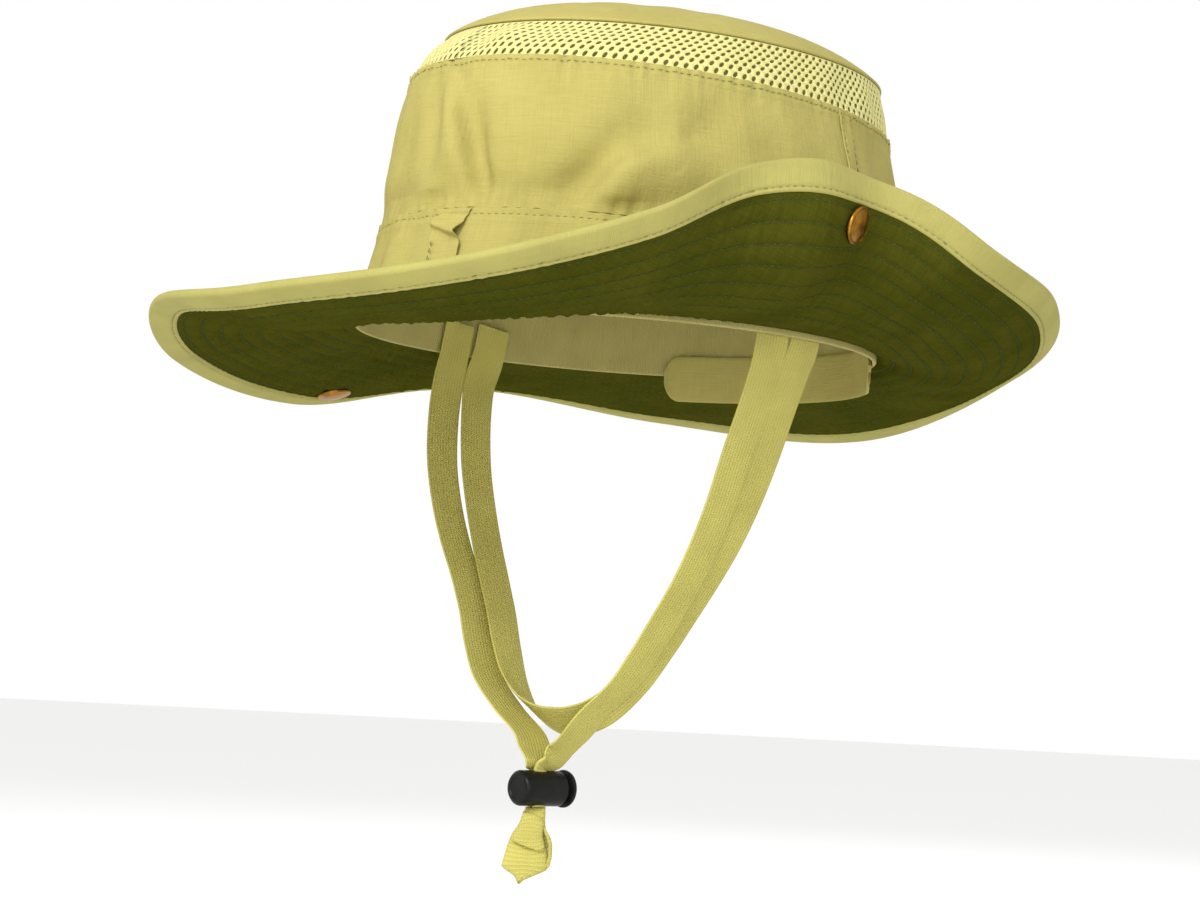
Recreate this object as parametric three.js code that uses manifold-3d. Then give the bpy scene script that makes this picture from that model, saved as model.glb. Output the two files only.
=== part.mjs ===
// An outback sun hat with a net vent, a stitched brim turned up at one side and a flat braid
// chin strap. Millimetres, +Z up, the front towards -Y and the wearer's left towards +X.
// The origin is the middle of the head opening, level with the seam of crown and brim.
import * as THREE from 'three';
import { mergeVertices } from 'three/addons/utils/BufferGeometryUtils.js';
import Module from 'manifold-3d';

// Driving sizes of the head opening, measured outside the crown's cloth at the brim seam.
const HEAD_LENGTH = 212;
const HEAD_WIDTH = 172;
// Crown
const CROWN_HEIGHT = 116;
const CLOTH = 1.2;
const GAP = 0.3;
const SWEATBAND_THICKNESS = 1.5;
const SWEATBAND_SHOWN = 1.6;
const SWEATBAND_TOP_SHARE = 0.82;
const SEAM_ANGLE = 102;
const SEAM_STRIP_WIDTH = 9;
const SEAM_STRIP_GAP = 0.4;
const SEAM_STRIP_TRIM = 1;
// Brim, measured along the cloth
const BRIM_WIDTH = 72;
const BINDING_WIDTH = 10.5;
const BINDING_CLOTH = 1;
const BINDING_ROUND = 1;
// Net of the vent
const NET_COLUMNS = 51;
const NET_HOLE_WIDTH = 6.4;
const NET_HOLE_HEIGHT = 6;
const NET_HOLE_SLANT = 1.4;
// Snaps
const SNAP_ANGLE = 82.5;
const SNAP_INSET = 17.5;
const SNAP_CAP_RADIUS = 7;
const SNAP_CAP_HEIGHT = 2.2;
const SNAP_POST_RADIUS = 1.8;
const SNAP_CAP_STANDOFF = 1.7;
const SNAP_SOCKET_RADIUS = 4.5;
const SNAP_SOCKET_HEIGHT = 1.4;
const SNAP_SOCKET_STANDOFF = 0.9;
const STUD_LEVEL = 2;
const STUD_PLATE = 0.8;
const STUD_KNOB = 1.6;
const STUD_ROUND = 0.4;
// Tab at the back of the head opening
const TAB_HALF_ANGLE = 40;
const TAB_DROP = 13;
const TAB_SEWN = 5;
const TAB_ROUND_SHARE = 0.1;
// Chin strap
const STRAP_WIDTH = 15;
const STRAP_THICKNESS = 1.4;
const STRAP_GATHERED_WIDTH = 11;
const STRAP_BUNCH_WIDTH = 5.4;
const STRAP_BUNCH_THICKNESS = 2.3;
// Cord lock
const LOCK_CENTRE = new THREE.Vector3(0, -29.8, -163.1);
const LOCK_TURN = 87;
const LOCK_RADIUS = 6.3;
const LOCK_LENGTH = 19;
const LOCK_CHAMFER = 1.4;
const LOCK_WALL = 1.5;
const LOCK_END_WALL = 2;
const LOCK_BUTTON_LENGTH = 1.8;
const LOCK_BUTTON_LIP = 0.4;
const LOCK_BUTTON_CHAMFER = 0.7;
const LOCK_TRAVEL = 1.8;
// Knot under the lock
const KNOT_TURN = 45;
const KNOT_HEIGHT = 27;
const KNOT_WIDTH = 18;
const KNOT_DEPTH = 9;

const STATIONS = 48;
const ROUND_SIDES = 12;
const PANEL_STEP = 7.5;

// Rings of the crown from the brim seam upwards. Height is a share of CROWN_HEIGHT, length and
// width of the head opening, back of HEAD_LENGTH / 2, and drop is the fall per millimetre
// towards the back.
const CROWN_RINGS = [
  { name: 'seam', height: 0, length: 1, width: 1, back: 0, drop: 0 },
  { name: 'band', height: 0.251, length: 0.955, width: 0.967, back: 0.062, drop: 0.05 },
  { name: 'middle', height: 0.44, length: 0.98, width: 0.985, back: 0.094, drop: 0.01 },
  { name: 'net_foot', height: 0.727, length: 0.94, width: 0.872, back: 0.118, drop: 0.04 },
  { name: 'net_head', height: 0.885, length: 0.865, width: 0.802, back: 0.164, drop: 0.01 },
];

// Soft folds of the crown's wall: where each runs, as an angle and as a share of the wall's
// height, how it leans in degrees per share, its half width in degrees, and its depth as a share
// of the head's width. A positive depth stands out.
const WALL_FOLDS = [
  { angle: 2, lean: 7, spread: 5, foot: 0.05, head: 0.95, depth: 0.012 },
  { angle: 11, lean: -6, spread: 4, foot: 0.1, head: 0.9, depth: -0.014 },
  { angle: -16, lean: 4, spread: 6, foot: 0, head: 0.8, depth: -0.01 },
  { angle: 38, lean: 14, spread: 6, foot: 0, head: 0.5, depth: -0.012 },
  { angle: 48, lean: 10, spread: 6, foot: 0, head: 0.55, depth: 0.014 },
  { angle: 66, lean: 12, spread: 6, foot: 0.1, head: 0.7, depth: -0.01 },
  { angle: 122, lean: -6, spread: 7, foot: 0.1, head: 0.9, depth: -0.014 },
  { angle: 150, lean: 5, spread: 8, foot: 0, head: 0.9, depth: 0.01 },
  { angle: 205, lean: -5, spread: 8, foot: 0.1, head: 1, depth: -0.012 },
  { angle: 243, lean: 6, spread: 7, foot: 0, head: 0.8, depth: -0.012 },
  { angle: 290, lean: -8, spread: 7, foot: 0.1, head: 0.9, depth: 0.012 },
  { angle: 318, lean: 9, spread: 6, foot: 0, head: 0.7, depth: -0.012 },
];

// The tuck where the ends of the band overlap, at the front a little to the wearer's left.
const BAND_TUCK = { angle: 11, lean: 3, spread: 3.4, depth: 0.011 };

// How the dome of the crown's tip rises from its rim to its middle
const TIP_SHARES = [1, 0.93, 0.75, 0.45, 0.03];
const TIP_FLATNESS = 4;

// The profile of a snap's cap, as shares of its radius and height
const CAP_PROFILE = [{ radius: 0.6, height: 0.86 }, { radius: 0.95, height: 0.4 }];

// How the brim slopes, in degrees, round the hat from the front towards the wearer's left:
// at the seam and at the outer edge. The slope changes evenly between the two.
const BRIM_SEAM_SLOPES = [
  { angle: 0, slope: -34 },
  { angle: 45, slope: -22 },
  { angle: 90, slope: 3 },
  { angle: 135, slope: -28 },
  { angle: 180, slope: -24 },
  { angle: 225, slope: -14 },
  { angle: 270, slope: -20 },
  { angle: 315, slope: -18 },
];
const BRIM_EDGE_SLOPES = [
  { angle: 0, slope: 29 },
  { angle: 28, slope: 38 },
  { angle: 50, slope: 65 },
  { angle: 66, slope: 106 },
  { angle: 82, slope: 95 },
  { angle: 100, slope: 46 },
  { angle: 130, slope: 57 },
  { angle: 160, slope: 34 },
  { angle: 190, slope: -10 },
  { angle: 220, slope: -8 },
  { angle: 250, slope: 8 },
  { angle: 280, slope: -14 },
  { angle: 310, slope: -4 },
  { angle: 335, slope: 24 },
];

// The soft crease of the brim at the wearer's left: the cloth stands out before this angle and
// draws in after it. Depth is in millimetres, foot and head are shares of the brim's width.
const BRIM_CREASE = { angle: 81, spread: 8, depth: 4.6, foot: 0.15, head: 0.5 };

// Routes of the two straps at the wearer's left, from their ends sewn to the sweatband down to
// the lock and the middle of the chin. The right side mirrors them. lean turns the flat face
// about Z, tip lifts the front edge, and ahead sets the right strap in front of the left one.
const FRONT_STRAP = [
  { x: 80.3, y: -5.8, z: 9, lean: -3, tip: 0, ahead: 0 },
  { x: 81.1, y: -7.3, z: -3.6, lean: -3, tip: 0, ahead: 0 },
  { x: 81, y: -9.5, z: -13, lean: 0, tip: 0, ahead: 0 },
  { x: 79.4, y: -12.5, z: -26, lean: 0, tip: 0, ahead: 0 },
  { x: 75, y: -16, z: -45, lean: 0, tip: 0, ahead: 0 },
  { x: 69.6, y: -17, z: -62, lean: 0, tip: 0, ahead: 0 },
  { x: 63.4, y: -17.3, z: -76, lean: 0, tip: 0, ahead: 0 },
  { x: 56.2, y: -17.6, z: -89, lean: 0, tip: 0, ahead: 0 },
  { x: 49.2, y: -19.2, z: -101, lean: 0, tip: 0, ahead: 0 },
  { x: 42.6, y: -21.8, z: -113, lean: 0, tip: 0, ahead: 0 },
  { x: 34.4, y: -24, z: -125, lean: 0, tip: 0, ahead: 0 },
  { x: 21.8, y: -25.4, z: -135.6, lean: 0, tip: 0, ahead: 0 },
  { x: 11.5, y: -26.6, z: -144.5, lean: 0, tip: 0, ahead: 1 },
  { x: 5.6, y: -28.2, z: -150.4, lean: 0, tip: 0, ahead: 2.2 },
  { x: 2.4, y: -29.4, z: -154, lean: 0, tip: 0, ahead: 1.6 },
];
const UNDER_CHIN_STRAP = [
  { x: 80, y: 11.6, z: 9, lean: 5, tip: 0, ahead: 0 },
  { x: 81, y: 9.8, z: -3.6, lean: 4, tip: 0, ahead: 0 },
  { x: 80.6, y: 6, z: -13, lean: 2, tip: 0, ahead: 0 },
  { x: 78, y: 2.8, z: -26, lean: 0, tip: 0, ahead: 0 },
  { x: 73.2, y: -0.2, z: -45, lean: 0, tip: 0, ahead: 0 },
  { x: 67.4, y: -2, z: -61, lean: 0, tip: 0, ahead: 0 },
  { x: 61, y: -3.8, z: -75, lean: 0, tip: 0, ahead: 0 },
  { x: 53.8, y: -6, z: -88, lean: 0, tip: 0, ahead: 0 },
  { x: 46.4, y: -8.6, z: -100, lean: 0, tip: 4, ahead: 0 },
  { x: 38.6, y: -12, z: -113, lean: 0, tip: 10, ahead: 0 },
  { x: 29.4, y: -15.4, z: -125.5, lean: 0, tip: 20, ahead: 0 },
  { x: 16, y: -18.4, z: -135.8, lean: 0, tip: 34, ahead: 0 },
  { x: 0, y: -19.6, z: -139.4, lean: 0, tip: 42, ahead: 0 },
];
const STRAP_STEPS_UNDER_CHIN = 28;

// Sections of the knot from its top, all as shares of its height, width and depth.
const KNOT_SECTIONS = [
  { drop: 0, width: 0.42, depth: 0.6, across: 0.1 },
  { drop: 0.12, width: 0.52, depth: 0.8, across: 0.08 },
  { drop: 0.34, width: 0.82, depth: 1, across: 0.02 },
  { drop: 0.52, width: 0.95, depth: 0.95, across: 0.04 },
  { drop: 0.66, width: 1, depth: 0.7, across: 0 },
  { drop: 0.76, width: 0.86, depth: 0.4, across: -0.06 },
  { drop: 0.86, width: 0.42, depth: 0.3, across: -0.08 },
  { drop: 1, width: 0.08, depth: 0.2, across: -0.12 },
];

const rad = THREE.MathUtils.degToRad;
const UP = new THREE.Vector3(0, 0, 1);

// Smooth curve through a table whose rows go once round the hat.
function around(rows, column, degrees) {
  const count = rows.length;
  const turn = ((degrees % 360) + 360) % 360;
  let low = count - 1;
  while (low > 0 && rows[low].angle > turn) low -= 1;
  const row = (index) => rows[(index + count) % count];
  const at = (index) => row(index).angle + 360 * Math.floor(index / count);
  const slope = (index) => (row(index + 1)[column] - row(index - 1)[column])
    / (at(index + 1) - at(index - 1));
  const span = at(low + 1) - at(low);
  const t = (turn - at(low)) / span;
  const value = THREE.MathUtils.lerp(row(low)[column], row(low + 1)[column], t * t * (3 - 2 * t));
  const ease = t * (1 - t) * span;
  return value + ease * ((1 - t) * slope(low) - t * slope(low + 1));
}

// Smooth curve through the crown's rings, where level counts them from 0.
function ringValue(column, level) {
  const last = CROWN_RINGS.length - 1;
  const low = THREE.MathUtils.clamp(Math.floor(level), 0, last - 1);
  const value = (index) => CROWN_RINGS[THREE.MathUtils.clamp(index, 0, last)][column];
  const slope = (index) => (value(index + 1) - value(index - 1)) / (index > 0 && index < last ? 2 : 1);
  const t = level - low;
  const s = t * t * (3 - 2 * t);
  return value(low) * (1 - s) + value(low + 1) * s
    + t * (1 - t) * ((1 - t) * slope(low) - t * slope(low + 1));
}

// The outward direction of the head opening's oval at an angle from the front.
function outward(degrees) {
  const a = rad(degrees);
  return new THREE.Vector3(Math.sin(a) / HEAD_WIDTH, -Math.cos(a) / HEAD_LENGTH, 0).normalize();
}

function wallFold(degrees, share) {
  let depth = 0;
  for (const fold of WALL_FOLDS) {
    const centre = fold.angle + fold.lean * (share - 0.5);
    const away = ((((degrees - centre) % 360) + 540) % 360) - 180;
    const along = THREE.MathUtils.smoothstep(share, fold.foot - 0.1, fold.foot + 0.2)
      * (1 - THREE.MathUtils.smoothstep(share, fold.head - 0.2, fold.head + 0.1));
    depth += fold.depth * HEAD_WIDTH * along * Math.exp(-((away / fold.spread) ** 2));
  }
  return depth * Math.min(1, 6 * share, 6 * (1 - share));
}

// A point of the crown: level 0 to 1 is the band, 1 to 3 the wall, 3 to 4 the vent's net.
function crownPoint(degrees, level, offset) {
  const a = rad(degrees);
  const y = -HEAD_LENGTH / 2 * (ringValue('length', level) * Math.cos(a) - ringValue('back', level));
  const x = HEAD_WIDTH / 2 * ringValue('width', level) * Math.sin(a);
  const z = ringValue('height', level) * CROWN_HEIGHT - ringValue('drop', level) * y;
  const fold = level > 1 && level < 3 ? wallFold(degrees, (level - 1) / 2) : 0;
  return new THREE.Vector3(x, y, z).addScaledVector(outward(degrees), offset + fold);
}

function brimCrease(degrees, reach) {
  const away = ((((degrees - BRIM_CREASE.angle) % 360) + 540) % 360 - 180) / BRIM_CREASE.spread;
  return BRIM_CREASE.depth * away * Math.exp(0.5 - away ** 2 / 2)
    * THREE.MathUtils.smoothstep(reach / BRIM_WIDTH, BRIM_CREASE.foot, BRIM_CREASE.head);
}

// A point of the brim: reach is measured along the cloth from the seam, and lift is the height
// over the middle of the two plies. Inside the seam the brim lies level.
function brimFrame(degrees, reach) {
  const start = rad(around(BRIM_SEAM_SLOPES, 'slope', degrees));
  const end = rad(around(BRIM_EDGE_SLOPES, 'slope', degrees));
  const steps = 12;
  let out = Math.min(reach, 0);
  let up = 0;
  for (let i = 0; i < steps && reach > 0; i += 1) {
    const s = (i + 0.5) / steps * reach;
    const slope = start + (end - start) * s / BRIM_WIDTH;
    out += Math.cos(slope) * reach / steps;
    up += Math.sin(slope) * reach / steps;
  }
  const slope = reach > 0 ? start + (end - start) * reach / BRIM_WIDTH : 0;
  const away = outward(degrees);
  const point = crownPoint(degrees, 0, out).setZ(up);
  const along = away.clone().multiplyScalar(Math.cos(slope)).setZ(Math.sin(slope));
  const normal = away.clone().multiplyScalar(-Math.sin(slope)).setZ(Math.cos(slope));
  point.addScaledVector(normal, brimCrease(degrees, reach));
  return { point, along, normal };
}

function brimPoint(degrees, reach, lift) {
  const frame = brimFrame(degrees, reach);
  return frame.point.addScaledVector(frame.normal, lift);
}

// A closed mesh from sections of equal length, joined round in a ring or capped at both ends.
// A quad is split from its corner nearest the origin, so that layers of cloth split alike.
function loft(sections, closed) {
  const positions = sections.flat().flatMap((p) => [p.x, p.y, p.z]);
  const count = sections[0].length;
  const index = [];
  const rows = closed ? sections.length : sections.length - 1;
  for (let i = 0; i < rows; i += 1) {
    const a = i * count;
    const b = ((i + 1) % sections.length) * count;
    for (let j = 0; j < count; j += 1) {
      const k = (j + 1) % count;
      const [near, far] = [sections[i][j], sections[i][k]];
      if (near.length() <= far.length()) index.push(a + j, b + j, b + k, a + j, b + k, a + k);
      else index.push(a + j, b + j, a + k, b + j, b + k, a + k);
    }
  }
  // A cap's triangles run the way of the section's corners, or the other way when flipped.
  const cap = (section, base, flip) => {
    const normal = new THREE.Vector3();
    section.forEach((p, j) => normal.add(p.clone().cross(section[(j + 1) % count])));
    const size = normal.toArray().map(Math.abs);
    const [u, v] = [['y', 'z'], ['z', 'x'], ['x', 'y']][size.indexOf(Math.max(...size))];
    const flat = section.map((p) => new THREE.Vector2(p[u], p[v]));
    for (const triangle of THREE.ShapeUtils.triangulateShape(flat, [])) {
      const [p, q, r] = triangle.toSorted((i, j) => i - j);
      index.push(base + p, base + (flip ? r : q), base + (flip ? q : r));
    }
  };
  if (!closed) {
    cap(sections[0], 0, false);
    cap(sections[sections.length - 1], (sections.length - 1) * count, true);
  }
  const geometry = new THREE.BufferGeometry();
  geometry.setAttribute('position', new THREE.Float32BufferAttribute(positions, 3));
  geometry.setIndex(index);
  return facingOut(geometry);
}

// Turns every face over when the mesh is inside out.
function facingOut(geometry) {
  const p = geometry.getAttribute('position');
  const index = geometry.getIndex().array;
  const corner = (i) => new THREE.Vector3().fromBufferAttribute(p, index[i]);
  let volume = 0;
  for (let i = 0; i < index.length; i += 3) volume += corner(i).dot(corner(i + 1).cross(corner(i + 2)));
  if (volume < 0) for (let i = 0; i < index.length; i += 3) [index[i + 1], index[i + 2]] = [index[i + 2], index[i + 1]];
  return geometry;
}

const wasm = await Module();
wasm.setup();

function toSolid(geometry) {
  const bare = geometry.clone();
  for (const name of ['normal', 'uv']) bare.deleteAttribute(name);
  const merged = mergeVertices(bare, 1e-4);
  return new wasm.Manifold(new wasm.Mesh({
    numProp: 3,
    vertProperties: Float32Array.from(merged.getAttribute('position').array),
    triVerts: Uint32Array.from(merged.getIndex().array),
  }));
}

function toGeometry(solid) {
  const mesh = solid.getMesh();
  const geometry = new THREE.BufferGeometry();
  geometry.setAttribute('position', new THREE.Float32BufferAttribute(mesh.vertProperties, 3));
  geometry.setIndex(Array.from(mesh.triVerts));
  return geometry;
}

function cut(geometry, tools) {
  return toGeometry(tools.reduce((solid, tool) => solid.subtract(toSolid(tool)), toSolid(geometry)));
}

// Turns a shape made along +Y so that +Y points along a direction, and moves it to a place.
function aimed(geometry, place, direction) {
  const turn = new THREE.Quaternion().setFromUnitVectors(new THREE.Vector3(0, 1, 0), direction);
  return geometry.applyMatrix4(new THREE.Matrix4().compose(place, turn, new THREE.Vector3(1, 1, 1)));
}

const hat = new THREE.Group();

function add(name, geometry, color, roughness = 0.85, metalness = 0) {
  const material = new THREE.MeshStandardMaterial({ color, roughness, metalness });
  const mesh = new THREE.Mesh(geometry, material);
  mesh.name = name;
  hat.add(mesh);
}

const KHAKI = '#c9be7e';
const PALE_KHAKI = '#d6cd9a';
const NET_YELLOW = '#e6dc9c';
const OLIVE = '#4d4a22';
const BRASS = '#a9792b';
const BLACK = '#1b1b1d';
const BRAID = '#b8ab72';

const angles = Array.from({ length: STATIONS }, (_, i) => i * 360 / STATIONS);
const plyLift = GAP / 2;
const brimUnderside = plyLift + CLOTH;
const ring = (section) => loft(angles.map(section), true);

// Brim: the two plies and the tape that binds their edge
const brimStart = -CLOTH;
const brimEnd = BRIM_WIDTH - BINDING_CLOTH - GAP;
const bindingStart = BRIM_WIDTH - BINDING_WIDTH;
const snapReach = BRIM_WIDTH - SNAP_INSET;
const brimReaches = [brimStart, snapReach / 3, 2 * snapReach / 3, snapReach, bindingStart, brimEnd];

function snapFrame(side) {
  const frame = brimFrame(side * SNAP_ANGLE, snapReach);
  const round = brimPoint(side * SNAP_ANGLE + 6, snapReach, 0).sub(brimPoint(side * SNAP_ANGLE - 6, snapReach, 0));
  return { point: frame.point, normal: frame.along.cross(round).normalize() };
}

function studPlace(side) {
  const at = (degrees, up) => crownPoint(side * SNAP_ANGLE + degrees, STUD_LEVEL + up, -CLOTH / 2);
  const up = at(0, 0.2).sub(at(0, -0.2));
  const round = at(PANEL_STEP, 0).sub(at(-PANEL_STEP, 0));
  return { point: at(0, 0), normal: round.cross(up).normalize() };
}

function postHole(place) {
  const hole = new THREE.CylinderGeometry(SNAP_POST_RADIUS + GAP, SNAP_POST_RADIUS + GAP, 12, 8);
  return aimed(hole, place.point, place.normal);
}

function brimPly(low, high) {
  const section = (degrees) => [
    ...brimReaches.map((reach) => brimPoint(degrees, reach, high)),
    ...brimReaches.toReversed().map((reach) => brimPoint(degrees, reach, low)),
  ];
  return cut(ring(section), [postHole(snapFrame(1)), postHole(snapFrame(-1))]);
}

function binding() {
  const edge = BRIM_WIDTH - BINDING_CLOTH;
  const near = brimUnderside + GAP;
  const far = near + BINDING_CLOTH;
  const upper = [[bindingStart, near], [edge, near]];
  const rim = [[bindingStart, far], [BRIM_WIDTH - 2 * BINDING_ROUND, far], [BRIM_WIDTH, far - 1.6 * BINDING_ROUND]];
  return ring((degrees) => [
    ...upper.map(([reach, lift]) => brimPoint(degrees, reach, lift)),
    ...upper.toReversed().map(([reach, lift]) => brimPoint(degrees, reach, -lift)),
    ...rim.map(([reach, lift]) => brimPoint(degrees, reach, -lift)),
    ...rim.toReversed().map(([reach, lift]) => brimPoint(degrees, reach, lift)),
  ]);
}

add('brim_top_ply', brimPly(plyLift, brimUnderside), KHAKI);
add('brim_under_ply', brimPly(-brimUnderside, -plyLift), OLIVE);
add('brim_binding', binding(), PALE_KHAKI);

// Crown: band, panels, seam strips, vent net, tip and sweatband
function levelsBetween(low, high, steps, trim) {
  const lift = (level) => (CROWN_RINGS[Math.min(Math.floor(level) + 1, 4)].height
    - CROWN_RINGS[Math.min(Math.floor(level), 3)].height) * CROWN_HEIGHT;
  const start = low + trim / lift(low);
  const end = high - trim / lift(high - 1);
  return Array.from({ length: steps + 1 }, (_, i) => start + (end - start) * i / steps);
}

function wallSection(degrees, levels, outside) {
  return [
    ...levels.map((level) => crownPoint(degrees, level, outside)),
    ...levels.toReversed().map((level) => crownPoint(degrees, level, outside - CLOTH)),
  ];
}

function bandTuck(degrees, share) {
  const away = degrees - (BAND_TUCK.angle + BAND_TUCK.lean * share);
  return BAND_TUCK.depth * HEAD_WIDTH * share * Math.exp(-((away / BAND_TUCK.spread) ** 2));
}

function crownBand() {
  const levels = levelsBetween(0, 1, 3, GAP / 2);
  const seat = brimUnderside + GAP;
  return ring((degrees) => {
    const section = wallSection(degrees, levels, 0);
    const tucked = section.map((point, i) => {
      const share = Math.min(i, section.length - 1 - i) / 3;
      return point.addScaledVector(outward(degrees), bandTuck(degrees, share));
    });
    tucked[0].z = seat;
    tucked[tucked.length - 1].z = seat;
    return tucked;
  });
}

function crownPanel(from, to) {
  const levels = levelsBetween(1, 3, 4, GAP / 2);
  const between = [];
  for (let a = Math.ceil(from / PANEL_STEP) * PANEL_STEP; a < to; a += PANEL_STEP) between.push(a);
  return loft([from, ...between, to].map((degrees) => wallSection(degrees, levels, 0)), false);
}

function seamStrip(side) {
  const halfAngle = THREE.MathUtils.radToDeg(SEAM_STRIP_WIDTH / HEAD_LENGTH);
  const levels = levelsBetween(1, 3, 4, SEAM_STRIP_TRIM);
  const sections = [-1, 0, 1].map((across) => (
    wallSection(side * (SEAM_ANGLE + across * halfAngle), levels, CLOTH + SEAM_STRIP_GAP)));
  return loft(sections, false);
}

// The net is a wall of two rows of cells, half a cell apart, with a slanted hole in each cell.
function ventNet() {
  const [foot, head] = levelsBetween(3, 4, 1, GAP / 2);
  const middle = (foot + head) / 2;
  const positions = [];
  const index = [];
  const known = new Map();
  const netHeight = (CROWN_RINGS[4].height - CROWN_RINGS[3].height) * CROWN_HEIGHT;
  const vertex = (column, level, inside) => {
    const turn = ((column % NET_COLUMNS) + NET_COLUMNS) % NET_COLUMNS;
    const key = `${turn.toFixed(3)} ${level.toFixed(4)} ${inside}`;
    if (!known.has(key)) {
      known.set(key, positions.length / 3);
      positions.push(...crownPoint(turn * 360 / NET_COLUMNS, level, inside ? -CLOTH : 0));
    }
    return known.get(key);
  };
  const face = (corners, inside) => {
    const [a, b, c] = corners.map(([column, level]) => vertex(column, level, inside));
    index.push(...(inside ? [a, c, b] : [a, b, c]));
  };
  const wall = (from, to) => {
    const [a, b] = [vertex(...from, false), vertex(...to, false)];
    const [c, d] = [vertex(...from, true), vertex(...to, true)];
    index.push(a, b, d, a, d, c);
  };
  const girth = Math.PI / 2 * (HEAD_LENGTH * ringValue('length', 3.5) + HEAD_WIDTH * ringValue('width', 3.5));
  const pitch = girth / NET_COLUMNS;
  const halfWide = NET_HOLE_WIDTH / 2 / pitch;
  const halfTall = NET_HOLE_HEIGHT / 2 / netHeight;
  const slant = NET_HOLE_SLANT / 2 / netHeight;
  for (let column = 0; column < NET_COLUMNS; column += 1) {
    for (const row of [0, 1]) {
      const west = column + row / 2;
      const edge = row === 0 ? foot : head;
      const centre = (middle + edge) / 2;
      const mid = [west + 0.5, centre];
      const hole = [
        [mid[0] - halfWide, centre - slant],
        [mid[0], centre - halfTall],
        [mid[0] + halfWide, centre + slant],
        [mid[0], centre + halfTall],
      ];
      const edgeSide = row === 0 ? hole[1] : hole[3];
      const seamSide = row === 0 ? hole[3] : hole[1];
      const triangles = [
        [[west, edge], [west + 1, edge], edgeSide],
        [[west, edge], edgeSide, hole[0]],
        [[west + 1, edge], hole[2], edgeSide],
        [[west, edge], hole[0], [west, middle]],
        [[west + 1, edge], [west + 1, middle], hole[2]],
        [[west, middle], hole[0], seamSide],
        [[west, middle], seamSide, [west + 0.5, middle]],
        [[west + 0.5, middle], seamSide, [west + 1, middle]],
        [[west + 1, middle], seamSide, hole[2]],
      ];
      for (const corners of triangles) {
        face(row === 0 ? corners : corners.toReversed(), false);
        face(row === 0 ? corners : corners.toReversed(), true);
      }
      hole.forEach((corner, i) => wall(corner, hole[(i + 1) % 4]));
      if (row === 0) wall([west + 1, edge], [west, edge]);
      else wall([west, edge], [west + 1, edge]);
    }
  }
  const geometry = new THREE.BufferGeometry();
  geometry.setAttribute('position', new THREE.Float32BufferAttribute(positions, 3));
  geometry.setIndex(index);
  return facingOut(geometry);
}

// The tip lies on the net's upper edge, and its dome rises towards the middle.
function crownTip() {
  const top = CROWN_RINGS[4];
  const dome = (1 - top.height) * CROWN_HEIGHT - CLOTH - GAP;
  const centre = new THREE.Vector3(0, HEAD_LENGTH / 2 * top.back, top.height * CROWN_HEIGHT);
  const surface = (share, lift) => angles.filter((_, i) => i % 2 === 0).map((degrees) => {
    const point = crownPoint(degrees, 4, 0).sub(centre).multiplyScalar(share).add(centre);
    return point.setZ(point.z + dome * (1 - share ** TIP_FLATNESS) + lift + GAP / 2);
  });
  const outer = TIP_SHARES.toReversed().map((share) => surface(share, CLOTH));
  return loft([...outer, ...TIP_SHARES.map((share) => surface(share, 0))], false);
}

function sweatband() {
  const outside = -(CLOTH + GAP);
  const inside = outside - SWEATBAND_THICKNESS;
  const foot = -(brimUnderside + GAP + SWEATBAND_SHOWN);
  return ring((degrees) => {
    const at = (offset, level, z) => crownPoint(degrees, level, offset).setZ(z);
    const high = SWEATBAND_TOP_SHARE;
    const top = crownPoint(degrees, high, 0).z - GAP;
    return [at(outside, 0, foot), at(outside, high, top), at(inside, high, top), at(inside, 0, foot)];
  });
}

add('crown_band', crownBand(), KHAKI);
const seamGap = THREE.MathUtils.radToDeg(GAP / HEAD_WIDTH);
const studHoles = [postHole(studPlace(1)), postHole(studPlace(-1))];
const frontPanel = crownPanel(-SEAM_ANGLE + seamGap, SEAM_ANGLE - seamGap);
add('crown_front_panel', cut(frontPanel, studHoles), KHAKI);
add('crown_back_panel', crownPanel(SEAM_ANGLE + seamGap, 360 - SEAM_ANGLE - seamGap), KHAKI);
add('side_seam_left', seamStrip(1), KHAKI);
add('side_seam_right', seamStrip(-1), KHAKI);
add('vent_net', ventNet(), NET_YELLOW);
add('crown_tip', crownTip(), KHAKI);
add('sweatband', sweatband(), PALE_KHAKI);

// Tab at the back, sewn on the inside of the sweatband and hanging below the opening
function backTab() {
  const outside = -(CLOTH + SWEATBAND_THICKNESS + 2 * GAP);
  const steps = 12;
  const sections = Array.from({ length: steps + 1 }, (_, i) => {
    const share = 2 * i / steps - 1;
    const past = Math.max(Math.abs(share) - 1 + TAB_ROUND_SHARE, 0) / (1.1 * TAB_ROUND_SHARE);
    const degrees = 180 + share * TAB_HALF_ANGLE;
    const half = (TAB_DROP + TAB_SEWN) / 2 * Math.sqrt(1 - past ** 2);
    const middle = (TAB_SEWN - TAB_DROP) / 2;
    const at = (offset, z) => crownPoint(degrees, 0, offset).setZ(middle + z);
    return [at(outside, half), at(outside, -half), at(outside - CLOTH, -half), at(outside - CLOTH, half)];
  });
  return loft(sections, false);
}

add('back_tab', backTab(), PALE_KHAKI);

// Snaps: a cap under the brim whose post carries the socket above it, and a stud on the crown
function lathe(points) {
  return new THREE.LatheGeometry(points.map(([r, h]) => new THREE.Vector2(r, h)), ROUND_SIDES);
}

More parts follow.
